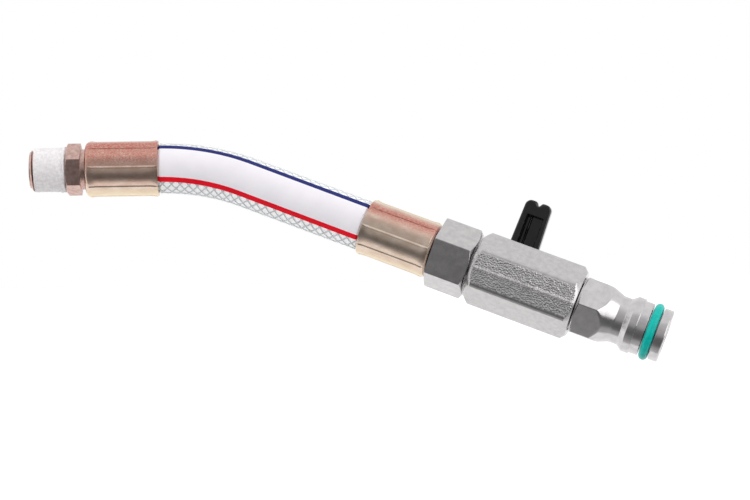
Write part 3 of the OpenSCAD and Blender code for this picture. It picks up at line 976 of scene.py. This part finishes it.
@dataclass(frozen=True)
class CrimpedFerrule:
    """A sleeve pressed by eight jaws, with a flash line between each two and a rounded closed end."""

    length: float = 22.2
    radius: float = 8.45
    wall: float = 0.9
    rounding: float = 1.4
    hole_r: float = 5.0
    marks: int = 8
    mark_angle: float = 43.0
    # painted reflections round the sleeve: the angles of their bands from the top towards the front, their
    # weights (1 rose, -1 gold) and their width, in degrees
    painted_reflection_at: tuple[float, ...] = (28.0, 66.0, 118.0, 165.0, 230.0, 290.0)
    painted_reflection_weight: tuple[float, ...] = (1.0, 0.75, 0.25, -0.8, 0.5, -0.6)
    painted_reflection_wide: float = 22.0
    flash: float = 0.22
    flash_wide: float = 1.2
    lobe: float = 0.2

    def outline(self) -> np.ndarray:
        """Closed end, shoulder, outside, lip and inside of the sleeve, as stations and radii."""
        r, q = self.radius, self.rounding
        turn = np.radians(np.linspace(0, 90, 10))
        shoulder = np.stack([q - q * np.cos(turn), r - q + q * np.sin(turn)], axis=1)
        lip = [(self.length - 1.2, r), (self.length - 0.35, r + 0.12), (self.length, r + 0.1)]
        inside = [(self.length, r - self.wall), (1.5, r - self.wall), (1.5, self.hole_r), (0.0, self.hole_r)]
        return stepped(np.vstack([shoulder, lip, inside]), 0.5)

    def pressed(self, station: np.ndarray, angle: np.ndarray) -> np.ndarray:
        """Change of radius: a narrow flash at each mark, and a rounder lobe between two marks."""
        step = 360 / self.marks
        off = (angle - self.mark_angle + step / 2) % step - step / 2
        bump = self.flash * np.exp(-((off / self.flash_wide) ** 2))
        valley = -self.lobe / 2 * (1 + np.cos(np.radians(off * 360 / step)))
        reach = smooth_step(station, 1.4, 3.4) * (
            1 - smooth_step(station, self.length - 2.6, self.length - 0.3)
        )
        line = smooth_step(station, 0.9, 1.6) * (
            1 - smooth_step(station, self.length - 0.8, self.length - 0.2)
        )
        return bump[None, :] * line[:, None] + valley[None, :] * reach[:, None]

    def painted_reflection(self, angle: np.ndarray) -> np.ndarray:
        """Painted reflections round the sleeve, by angle: 1 where the painted reflection is rosiest, -1 where
        it is goldest.
        """
        off = (angle[:, None] - np.array(self.painted_reflection_at) + 180) % 360 - 180
        return np.clip(np.exp(-((off / self.painted_reflection_wide) ** 2)) @ np.array(self.painted_reflection_weight), -1, 1)

    def shell(self, axes: Axes, side: int = 1) -> Shell:
        """The sleeve along x from its closed end.

        Args:
            axes: its axes, with x towards the mouth.
            side: -1 if its axes run the other way round.

        Returns:
            The shell, its tint carrying the painted reflections.
        """
        line = self.outline()
        step = 360 / self.marks
        angle = ring_angles(self.mark_angle + step * np.arange(self.marks), 180, 3.2, 13)
        outside = smooth_step(line[:, 1], self.radius - self.wall * 0.6, self.radius - 0.05)
        radius = line[:, 1:] + self.pressed(line[:, 0], angle) * outside[:, None]
        # the tint holds the painted reflection bands, by angle round the sleeve
        return turned(axes, line[:, :1], radius, side * angle[None, :], self.painted_reflection(angle)[None, :])


@dataclass(frozen=True)
class PortEnd:
    """The fitting that screws into the port: tapered hexagon, neck, thread wound with tape, hose tail."""

    layout: Layout
    hex_af: float = 14.0
    hex_len: float = 4.5
    hex_corner: float = 8.9
    neck_r: float = 6.2
    bore_r: float = 3.25
    thread_len: float = 11.0
    thread_r: float = 6.5785
    thread_root: float = 5.72
    pitch: float = 1.337
    tape_len: float = 9.6
    tape_r: float = 6.8
    tail_r: float = 4.9

    def fitting(self) -> list[Shell]:
        """The hexagon with its neck and tail, and the thread as a helical ridge."""
        end = self.layout.ferrule_x + 20.9
        line = softened(
            [
                (0, self.bore_r), (0, 6.9), (0.7, 8.3), (self.hex_len - 0.1, 8.3), (self.hex_len, 8.0),
                (self.hex_len, self.neck_r), (self.layout.ferrule_x - 0.05, self.neck_r),
                (self.layout.ferrule_x - 0.05, self.tail_r), (end, self.tail_r - 0.5), (end, self.bore_r),
            ],
            0.12,
        )
        hexagon = lathe(
            self.layout.port_axes(), stepped(line, 0.4), Flats.hexagon(self.hex_af, self.hex_corner), 180
        )
        station = np.linspace(-self.thread_len, 0.2, 150)
        angle = np.linspace(0, 360, 96, endpoint=False)
        turns = station[:, None] / self.pitch - angle[None, :] / 360
        ridge = 0.5 + 0.5 * np.cos(2 * np.pi * turns)
        fade = smooth_step(station, -self.thread_len, -self.thread_len + 1)[:, None]
        height = (self.thread_r - self.thread_root) * np.clip(1.5 * ridge - 0.2, 0, 1) * fade
        outer = self.thread_root - 0.15 + height + 0.15 * fade
        return [hexagon, sleeve(self.layout.port_axes(), station, outer, self.bore_r, angle)]

    def tape(self) -> Shell:
        """The wound tape: it follows the thread faintly, and bunches and creases at the hexagon."""
        station = np.linspace(-self.tape_len, -0.05, 130)
        angle = np.linspace(0, 360, 180, endpoint=False)
        turns = angle[None, :] / 360
        crease = ripple(turns, station[:, None] / 9, 5, 30, 8)
        winding = np.cos(2 * np.pi * (station[:, None] / self.pitch - turns))
        bunch = smooth_step(station, -4.0, -0.9)[:, None]
        outer = self.tape_r - 0.06 + 0.05 * winding * (1 - bunch) + bunch * (0.1 + 0.16 * crease)
        edge = smooth_step(-station, 0.0, 0.5)[:, None]
        outer = 6.62 + (outer - 6.62) * edge
        return sleeve(self.layout.port_axes(), station, outer, self.thread_r + 0.01, angle)

    def build(self, dresser: Dresser) -> None:
        """Makes the port's fitting, tape and ferrule."""
        fitting = build_mesh("zinc_port_fitting", self.fitting())
        dresser.rigid(fitting, "machine_end", Look.ZINC_STEEL, "zinc_steel", "port_fitting")
        tape = build_mesh("wound_tape", [self.tape()], 80)
        dresser.rigid(tape, "machine_end", Look.TAPE, "sealing_tape", "thread_tape")
        axes = self.layout.port_axes().shifted(self.layout.ferrule_x)
        ferrule = build_mesh("port_crimp_sleeve", [CrimpedFerrule().shell(axes)])
        dresser.rigid(ferrule, "machine_end", Look.YELLOW_ZINC, "yellow_zinc", "port_ferrule")


# ---------------------------------------------------------------- valve end


@dataclass(frozen=True)
class ValveEnd:
    """The valve ferrule, swivel nut, valve body with stem boss, and plug, along the valve's axis."""

    layout: Layout
    nut_af: float = 19.0
    nut_corner: float = 8.0
    thread_r: float = 6.5785
    body_af: float = 20.0
    ridge: float = 0.35
    bead: float = 0.3
    flow_r: float = 4.0
    boss_r: float = 5.4
    boss_t: float = 1.8
    insert_r: float = 8.05
    pocket_r: float = 6.75
    plug_af: float = 17.0
    plug_corner: float = 27.0
    plug_neck_r: float = 7.2
    plug_collar_r: float = 8.55
    plug_ring_r: float = 8.05
    plug_nose_r: float = 7.95
    plug_bore_r: float = 4.5
    ring_section: float = 2.65
    ring_od: float = 17.5
    # the plug's parts, each measured from the one before it, and the width of the O-ring's groove
    neck_run: float = 12.1
    ring_run: float = 6.5
    groove_run: float = 2.7
    groove_wide: float = 3.3
    nose_len: float = 2.8

    def nut(self) -> Shell:
        """The swivel nut: sharp towards the hose, chamfered towards the valve."""
        s, e, r = self.layout.nut_s, self.layout.nut_s + self.layout.nut_len, self.nut_af / 2
        line = softened(
            [
                (s, 5.58), (s, r + 1.25), (s + 0.25, r + 1.6), (e - 1.0, r + 1.6), (e, r - 0.1),
                (e, self.thread_r + 0.5), (e - 0.5, self.thread_r), (s + 3.3, self.thread_r), (s + 2.7, 5.58),
            ],
            0.1,
        )
        flats = Flats.hexagon(self.nut_af, self.nut_corner, 190)
        return lathe(self.layout.valve_axes(), stepped(line, 0.22), flats, 240)

    def body_flats(self) -> Flats:
        """The body's faces: its front and back ones are two planes each, which meet at the parting ridge."""
        depth = self.body_af / 2
        corner = np.array([depth, depth * math.tan(math.radians(30))])
        lean = math.degrees(math.atan2(self.ridge, corner[1]))
        drafted = (depth + self.ridge) * math.cos(math.radians(lean))
        normals = (30, 90 - lean, 90 + lean, 150, 210, 270 - lean, 270 + lean, 330)
        return Flats(normals, (depth, drafted, drafted, depth) * 2, 300)

    def body(self) -> list[Shell]:
        """The forged hexagon with turned cones at its ends, its threaded end, and the stem's boss."""
        s, e = self.layout.body_s, self.layout.body_s + self.layout.body_len
        outer = self.body_af / 2 + 1.3
        insert = self.layout.stem_s + self.pocket_r
        line = stepped(
            softened(
                [
                    (s, self.flow_r), (s, outer - 1.6), (s + 1.6, outer), (e - 1.5, outer), (e, outer - 1.4),
                    (e, self.insert_r), (insert, self.insert_r), (insert, self.pocket_r),
                    (self.layout.stem_s - self.pocket_r, self.pocket_r),
                    (self.layout.stem_s - self.pocket_r, self.flow_r),
                ],
                0.12,
            ),
            0.4,
        )
        flats = self.body_flats()
        angle = ring_angles(flats.corners(), 170, 2.6, 11)
        radius = flats.trimmed(line[:, 1], angle)
        sides = np.minimum(abs(angle - FRONT), abs(angle - FRONT - 180))
        radius = radius + self.bead * np.exp(-((sides / 1.7) ** 2)) * (radius < line[:, 1:] - 0.2)
        blasted = 1 - smooth_step(sides, 30.8, 32.2)
        cut = smooth_step(line[:, 1:] - radius, 0.02, 0.25) * (line[:, 1:] > self.insert_r + 0.5)
        skin = turned(self.layout.valve_axes(), line[:, :1], radius, angle[None, :], blasted * cut)
        spigot = softened(
            [
                (s - 8, self.flow_r), (s - 8, 5.6), (s - 7, 6.5), (s - 0.9, 6.5), (s - 0.9, 5.7),
                (s + 0.2, 5.7), (s + 0.2, self.flow_r),
            ],
            0.1,
        )
        return [skin, lathe(self.layout.valve_axes(), stepped(spigot, 1.0)), self.boss()]

    def boss(self) -> Shell:
        """The round boss on the body's back, cut away where the lever's stop travels."""
        stem = self.layout.stem_axes()
        up = Axes(stem.origin, np.array([stem.basis[2], stem.basis[0], stem.basis[1]]))
        low, high, floor = self.body_af / 2 - 1.2, self.body_af / 2 + self.boss_t, self.body_af / 2 + 0.4
        line = stepped(
            softened([(low, 2.55), (low, self.boss_r), (high, self.boss_r), (high, 2.55)], 0.1), 0.3
        )
        angle = ring_angles(np.array([-15.0, 105.0]), 144, 3, 9)
        turn = (angle + 180) % 360 - 180
        open_part = smooth_step(turn, -15.5, -14.5) * (1 - smooth_step(turn, 104.5, 105.5))
        outer = (line[:, 1] > 3.5)[:, None] * (line[:, 0] > floor)[:, None]
        station = line[:, :1] - (line[:, :1] - floor) * open_part[None, :] * outer
        return turned(up, station, line[:, 1:], angle[None, :])

    def plug(self) -> Shell:
        """The plug: short hexagon, flare, neck, 45 degree collar, ring, O-ring groove and nose."""
        s = self.layout.plug_s
        flare, neck = s + 6.5, s + self.neck_run
        collar, ring = neck + 4.2, neck + self.ring_run
        groove, nose = ring + self.groove_run, ring + 6.0
        end, wide = nose + self.nose_len, self.plug_af / math.sqrt(3)
        root = self.ring_od / 2 - self.ring_section - 0.02
        line = softened(
            [
                (s - 10.5, self.flow_r), (s - 10.5, 5.5), (s - 9.5, 6.5), (s - 1, 6.5), (s - 1, 5.7),
                (s, 5.7),
                (s, self.plug_af / 2), (s + 0.4, self.plug_af / 2), (s + 0.9, wide + 0.1),
                (flare - 0.17, wide + 0.1),
                (flare + 2.3, self.plug_af / 2), (neck, self.plug_neck_r), (neck + 2.5, self.plug_neck_r),
                (collar, self.plug_collar_r), (ring, self.plug_collar_r), (ring, self.plug_ring_r),
                (groove, self.plug_ring_r), (groove, root), (nose, root), (nose, self.plug_nose_r),
                (end - 0.35, self.plug_nose_r), (end, self.plug_nose_r - 0.35), (end, self.plug_bore_r + 0.7),
                (end - 0.6, self.plug_bore_r), (neck, self.plug_bore_r), (neck - 1, self.flow_r),
            ],
            0.12,
        )
        flats = Flats.hexagon(self.plug_af, self.plug_corner, 190)
        return lathe(self.layout.valve_axes(), stepped(line, 0.3), flats, 170)

    def o_ring(self) -> Shell:
        """A torus in the plug's groove."""
        around = np.radians(np.linspace(0, 360, 32, endpoint=False))
        half = self.ring_section / 2
        groove = self.layout.plug_s + self.neck_run + self.ring_run + self.groove_run
        middle = groove + self.groove_wide / 2
        line = np.stack(
            [middle + half * np.cos(around), self.ring_od / 2 - half + half * np.sin(around)], axis=1
        )
        return lathe(self.layout.valve_axes(), line, None, 144)

    def build(self, dresser: Dresser) -> None:
        """Makes the pieces along the valve's axis."""
        axes = self.layout.valve_axes().shifted(self.layout.ferrule_len).reversed()
        # the valve sleeve's painted reflections: gold at the top and rose just above the front, at other
        # angles than the port sleeve's
        sleeve_shape = CrimpedFerrule(
            painted_reflection_at=(0.0, 38.0, 52.0, 165.0, 230.0, 290.0), painted_reflection_weight=(-0.9, 0.75, 0.4, -0.8, 0.5, -0.6),
            painted_reflection_wide=15.0
        )
        ferrule = build_mesh("valve_crimp_sleeve", [sleeve_shape.shell(axes, -1)])
        dresser.rigid(ferrule, "valve_end", Look.YELLOW_ZINC, "yellow_zinc", "valve_ferrule")
        dresser.rigid(
            build_mesh("hexagon_swivel_nut", [self.nut()]), "nut", Look.NUT, "plated_nut", "swivel_nut"
        )
        body = build_mesh("forged_valve_body", self.body())
        dresser.rigid(body, "valve_end", Look.FORGED, "forged_plated_brass", "valve_body")
        plug = build_mesh("push_in_plug", [self.plug()])
        dresser.rigid(plug, "valve_end", Look.PLUG, "plated_plug", "plug")
        dresser.rigid(
            build_mesh("nose_o_ring", [self.o_ring()]), "valve_end", Look.TEAL_RUBBER, "teal_rubber",
            "plug_o_ring",
        )


# ---------------------------------------------------------------- lever


@dataclass(frozen=True)
class Lever:
    """The moulded lever: a hub on the stem, and an arm with a ribbed hollow towards the body."""

    layout: Layout
    reach: float = 25.0
    root_w: float = 9.8
    tip_w: float = 8.4
    back: float = 12.4
    thick: float = 4.0
    hub_r: float = 6.2
    hub_low: float = 12.0
    rounding: float = 0.7
    lobe: float = 2.0
    notch: float = 1.2
    tang_half: float = 14.0
    tang_r: tuple[float, float] = (3.65, 5.3)
    tang_z: tuple[float, float] = (10.72, 12.4)
    # the hollow, the groove beside it and the rib between them: depth, two sides, two ends, softness
    cuts: tuple[tuple[float, ...], ...] = (
        (2.1, -2.7, 2.3, 7.6, 20.4, 0.5),
        (0.7, 1.2, 2.3, 7.6, 20.0, 0.4),
        (-0.5, 0.75, 1.25, 7.6, 20.2, 0.4),
    )

    def half_width(self, y: np.ndarray, end: np.ndarray) -> np.ndarray:
        """Half the arm's width: it narrows towards the tip, where a quarter circle closes it."""
        straight = (self.root_w + (self.tip_w - self.root_w) * np.clip((y - 3) / (self.reach - 5), 0, 1)) / 2
        left = np.clip((self.lobe - (end - y)) / self.lobe, 0, 1)
        return straight - self.lobe * (1 - np.sqrt(1 - left**2))

    def arm(self) -> Shell:
        """The arm as two faces and a rounded edge, closed at the tip and inside the hub.

        A face is worked out over a grid of shares along and across the arm. Its height drops near the
        outline as a quarter circle, and the inner face is cut by the hollow and a groove beside it.
        """
        across = np.sin(np.linspace(-np.pi / 2, np.pi / 2, 141))
        along = np.concatenate(
            [np.linspace(0, 0.88, 240), 1 - 0.12 * np.cos(np.linspace(0, np.pi / 2, 50))[1:]]
        )
        tip = self.reach - self.notch * np.exp(-((across / 0.3) ** 2))
        y = 1.0 + along[:, None] * (tip - 1.0)[None, :]
        half = self.half_width(y, np.broadcast_to(tip[None, :], y.shape))
        x = across[None, :] * half
        inset = np.minimum(half - abs(x), tip[None, :] - y)
        drop = self.rounding - np.sqrt(
            np.maximum(self.rounding**2 - np.clip(self.rounding - inset, 0, None) ** 2, 0)
        )
        inner = self.back + drop
        for depth, *edges in self.cuts:
            inner = inner + depth * self.box(x, y, *edges)
        outer = self.back + self.thick - drop + 0.25 * (1 - across[None, :] ** 2)
        front = np.stack([x, y, inner], axis=-1)
        rear = np.stack([x, y, outer], axis=-1)[:, ::-1]
        own = np.concatenate([front, rear], axis=1)
        skin = tube(self.layout.stem_axes().place(own), own, ring_rows=False)
        return self.capped(skin, len(along), len(across))

    def capped(self, skin: Shell, rows: int, cols: int) -> Shell:
        """Closes both ends by strips between the inner and the outer face, in place of the fans."""
        ring = 2 * cols
        strips = []
        for row in (0, rows - 1):
            inner = row * ring + np.arange(cols)
            outer = row * ring + ring - 1 - np.arange(cols)
            strip = np.stack([inner[:-1], inner[1:], outer[1:], outer[:-1]], axis=-1)
            strips.append(strip if row else strip[:, ::-1])
        return Shell(skin.points[:-2], skin.own[:-2], skin.tint[:-2], np.vstack([skin.quads, *strips]))

    def box(
        self, x: np.ndarray, y: np.ndarray, x0: float, x1: float, y0: float, y1: float, soft: float
    ) -> np.ndarray:
        """1 inside a rectangle and 0 outside, with soft sides."""
        sides = smooth_step(x, x0 - soft / 2, x0 + soft / 2) * (
            1 - smooth_step(x, x1 - soft / 2, x1 + soft / 2)
        )
        ends = smooth_step(y, y0 - soft / 2, y0 + soft / 2) * (
            1 - smooth_step(y, y1 - soft / 2, y1 + soft / 2)
        )
        return sides * ends

    def hub(self) -> Shell:
        """The round hub, dished at its back for the screw, with the stop's tang below it."""
        stem = self.layout.stem_axes()
        up = Axes(stem.origin, np.array([stem.basis[2], stem.basis[0], stem.basis[1]]))
        top = self.back + self.thick + 0.8
        line = softened(
            [
                (self.hub_low, 2.0), (self.hub_low, self.hub_r), (top, self.hub_r), (top, 3.0),
                (top - 1.0, 3.0), (top - 1.0, 1.4), (self.hub_low + 3.6, 1.4), (self.hub_low + 3.6, 2.0),
            ],
            0.35,
        )
        return lathe(up, stepped(line, 0.5), None, 96)

    def tang(self) -> Shell:
        """The stop under the hub: a slice of a ring."""
        stem = self.layout.stem_axes()
        turn = np.linspace(FRONT - self.tang_half, FRONT + self.tang_half, 12)
        (low_r, high_r), (low, high) = self.tang_r, self.tang_z
        ring = np.array([(low_r, low), (high_r, low), (high_r, high), (low_r, high)])
        a = np.radians(turn)[:, None]
        x, y = ring[None, :, 0] * np.cos(a), ring[None, :, 0] * np.sin(a)
        own = np.stack([x, y, np.broadcast_to(ring[None, :, 1], x.shape)], axis=-1)
        return tube(stem.place(own), own, ring_rows=False)

    def build(self, dresser: Dresser) -> None:
        """Makes the lever."""
        lever = build_mesh("moulded_lever", [self.arm(), self.hub(), self.tang()])
        dresser.rigid(lever, "handle", Look.NYLON, "black_nylon", "lever")


@dataclass(frozen=True)
class InnerWorks:
    """The pieces whose CAD shapes are shown as they are: seals, seats, ball, stem, insert and screw."""

    looks: tuple[tuple[str, Look], ...] = (
        ("valve_tail", Look.ZINC_STEEL),
        ("nut_retaining_wire", Look.STEEL),
        ("tail_seal", Look.BLACK_RUBBER),
        ("valve_insert", Look.INSERT),
        ("hose_side_seat", Look.PTFE),
        ("plug_side_seat", Look.PTFE),
        ("valve_ball", Look.BALL),
        ("valve_stem", Look.BRASS),
        ("stem_washer", Look.PTFE),
        ("stem_o_rings", Look.BLACK_RUBBER),
        ("lever_screw", Look.STEEL),
    )

    def build(self, nodes: dict[str, bpy.types.Object], dresser: Dresser) -> None:
        """Gives each its finish."""
        for name, look in self.looks:
            dresser.carried(nodes[name], look)


# ---------------------------------------------------------------- studio


@dataclass(frozen=True)
class Studio:
    """Camera, floor, world and lamps: bright above and behind, and dark low down behind the camera."""

    eye: tuple[float, float, float] = (63.58, -588.45, -26.24)
    ahead: tuple[float, float, float] = (0.05234, 0.99863, 0.0)
    up: tuple[float, float, float] = (0.01656, -0.00087, 0.99986)
    lens: float = 91.2
    sensor: float = 36.0
    floor_z: float = -106.0
    floor_front: float = -42.0
    floor_reach: float = 4000.0
    floor_colour: str = "#e8e8e8"
    # how near and far the floor's glow starts and ends, in metres, and how strong it is at both
    floor_glow: tuple[float, float, float, float] = (0.2, 2.0, 0.25, 0.62)
    lamps_meet: tuple[float, float, float] = (0.09, 0.0, -0.02)
    # the dark part of the room lies this way, and is squeezed to a wide band by these factors
    room_dark: tuple[float, float, float] = (0.0, -0.866, -0.5)
    room_squeeze: tuple[float, float, float] = (0.3, 1.0, 1.0)
    # brightness of the room from its bright end, at 0, to the middle of its dark part, at 1
    room: tuple[tuple[float, float], ...] = (
        (0.5, 0.95), (0.66, 0.64), (0.86, 0.5), (0.93, 0.4), (0.962, 0.2), (1.0, 0.13)
    )

    def camera(self) -> None:
        """The camera at the object's viewing angle."""
        data = bpy.data.cameras.new("view")
        data.lens, data.sensor_width = self.lens, self.sensor
        data.clip_start, data.clip_end = 0.01, 20.0
        made = bpy.data.objects.new("view", data)
        bpy.context.scene.collection.objects.link(made)
        ahead = np.array(self.ahead) / np.linalg.norm(self.ahead)
        right = np.cross(ahead, np.array(self.up))
        right = right / np.linalg.norm(right)
        basis = np.eye(4)
        basis[:3, 0], basis[:3, 1], basis[:3, 2] = right, np.cross(right, ahead), -ahead
        basis[:3, 3] = np.array(self.eye) * MM
        made.matrix_world = Matrix(basis.tolist())
        bpy.context.scene.camera = made

    def floor(self) -> None:
        """A wide pale floor behind and below the object, white to the camera and darker in its shadow."""
        data = bpy.data.meshes.new("floor")
        wide, near, z = self.floor_reach * MM, self.floor_front * MM, self.floor_z * MM
        near_at, far_at, near_glow, far_glow = self.floor_glow
        data.from_pydata(
            [(-wide, near, z), (wide, near, z), (wide, wide, z), (-wide, wide, z)], [], [(0, 1, 2, 3)]
        )
        made = bpy.data.objects.new("floor", data)
        bpy.context.scene.collection.objects.link(made)
        look = bpy.data.materials.new("pale_floor")
        look.use_nodes = True
        tree = look.node_tree
        tree.nodes.clear()
        path = add(tree, "LightPath")
        paint = add(tree, "BsdfDiffuse", {"Color": linear(self.floor_colour)})
        where = add(tree, "NewGeometry")
        away = add(tree, "VectorMath", {0: where.outputs["Position"]}, operation="LENGTH")
        lift = add(
            tree, "MapRange", {0: away.outputs["Value"], 1: near_at, 2: far_at, 3: near_glow, 4: far_glow}
        )
        seen = add(
            tree, "Math", {0: path.outputs["Is Camera Ray"], 1: path.outputs["Is Glossy Ray"]},
            operation="ADD", use_clamp=True,
        )
        strength = add(tree, "Math", {0: seen.outputs[0], 1: lift.outputs[0]}, operation="MULTIPLY")
        glow = add(tree, "Emission", {"Color": (1, 1, 1, 1), "Strength": strength.outputs[0]})
        both = add(tree, "AddShader", {0: paint.outputs[0], 1: glow.outputs[0]})
        add(tree, "OutputMaterial", {"Surface": both.outputs[0]})
        data.materials.append(look)

    def world(self) -> None:
        """A bright room whose side behind the camera is dark; the camera itself always sees it white."""
        sky = bpy.data.worlds.new("studio")
        bpy.context.scene.world = sky
        sky.use_nodes = True
        tree = sky.node_tree
        tree.nodes.clear()
        where = add(tree, "TexCoord")
        wide = add(
            tree, "VectorMath", {0: where.outputs["Generated"], 1: self.room_squeeze}, operation="MULTIPLY"
        )
        way = add(tree, "VectorMath", {0: wide.outputs[0]}, operation="NORMALIZE")
        front = add(tree, "VectorMath", {0: way.outputs[0], 1: self.room_dark}, operation="DOT_PRODUCT")
        share = add(tree, "MapRange", {0: front.outputs["Value"], 1: -1.0})
        ramp = add(tree, "ValToRGB", {"Fac": share.outputs[0]})
        stops = ramp.color_ramp.elements
        for number, (at, level) in enumerate(self.room):
            stop = stops[number] if number < len(stops) else stops.new(at)
            stop.position, stop.color = at, (level, level, level, 1)
        path = add(tree, "LightPath")
        mirrored = add(
            tree, "Math", {0: path.outputs["Is Glossy Ray"], 1: path.outputs["Is Transmission Ray"]},
            operation="ADD",
        )
        strength = add(tree, "MapRange", {0: mirrored.outputs[0], 3: 1.0, 4: 1 / self.room[0][1]})
        pick = add(
            tree, "Mix", {0: path.outputs["Is Camera Ray"], 6: ramp.outputs["Color"], 7: (1, 1, 1, 1)},
            data_type="RGBA",
        )
        room = add(tree, "Background", {"Color": pick.outputs[2], "Strength": strength.outputs[0]})
        add(tree, "OutputWorld", {"Surface": room.outputs[0]})

    def lamp(
        self, name: str, place: tuple[float, float, float], size: float, power: float, mirrored: bool = True
    ) -> None:
        """A square lamp that shines at the object.

        Args:
            name: its name.
            place: its place, in metres.
            size: its side, in metres.
            power: its power, in watts.
            mirrored: whether bright metal mirrors it; a lamp that would whiten the nut's front hides.
        """
        data = bpy.data.lights.new(name, "AREA")
        data.size, data.energy = size, power
        made = bpy.data.objects.new(name, data)
        bpy.context.scene.collection.objects.link(made)
        made.location = place
        made.visible_glossy = mirrored
        made.rotation_euler = (Vector(self.lamps_meet) - Vector(place)).to_track_quat("-Z", "Y").to_euler()

    def build(self) -> None:
        """Sets up the studio."""
        self.camera()
        self.floor()
        self.world()
        self.lamp("overhead", (0.1, -0.05, 0.9), 0.9, 1.0, mirrored=False)
        self.lamp("left", (-0.7, -0.6, 0.15), 0.9, 3.8, mirrored=False)
        self.lamp("right", (0.85, -0.62, 0.1), 1.0, 4.6)
        bpy.context.scene.view_settings.view_transform = "Standard"


def corners(box: tuple) -> list[list[float]]:
    """A box's lowest and highest corners as plain lists."""
    return [[float(v) for v in corner] for corner in box]


def main() -> None:
    """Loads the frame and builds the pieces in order."""
    logging.basicConfig(level=logging.INFO, format="%(message)s")
    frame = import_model()
    layout = Layout()
    dresser = Dresser()
    Studio().build()
    BraidedHose(layout).build(dresser)
    PortEnd(layout).build(dresser)
    ValveEnd(layout).build(dresser)
    Lever(layout).build(dresser)
    InnerWorks().build(frame["nodes"], dresser)


if __name__ == "__main__":
    main()
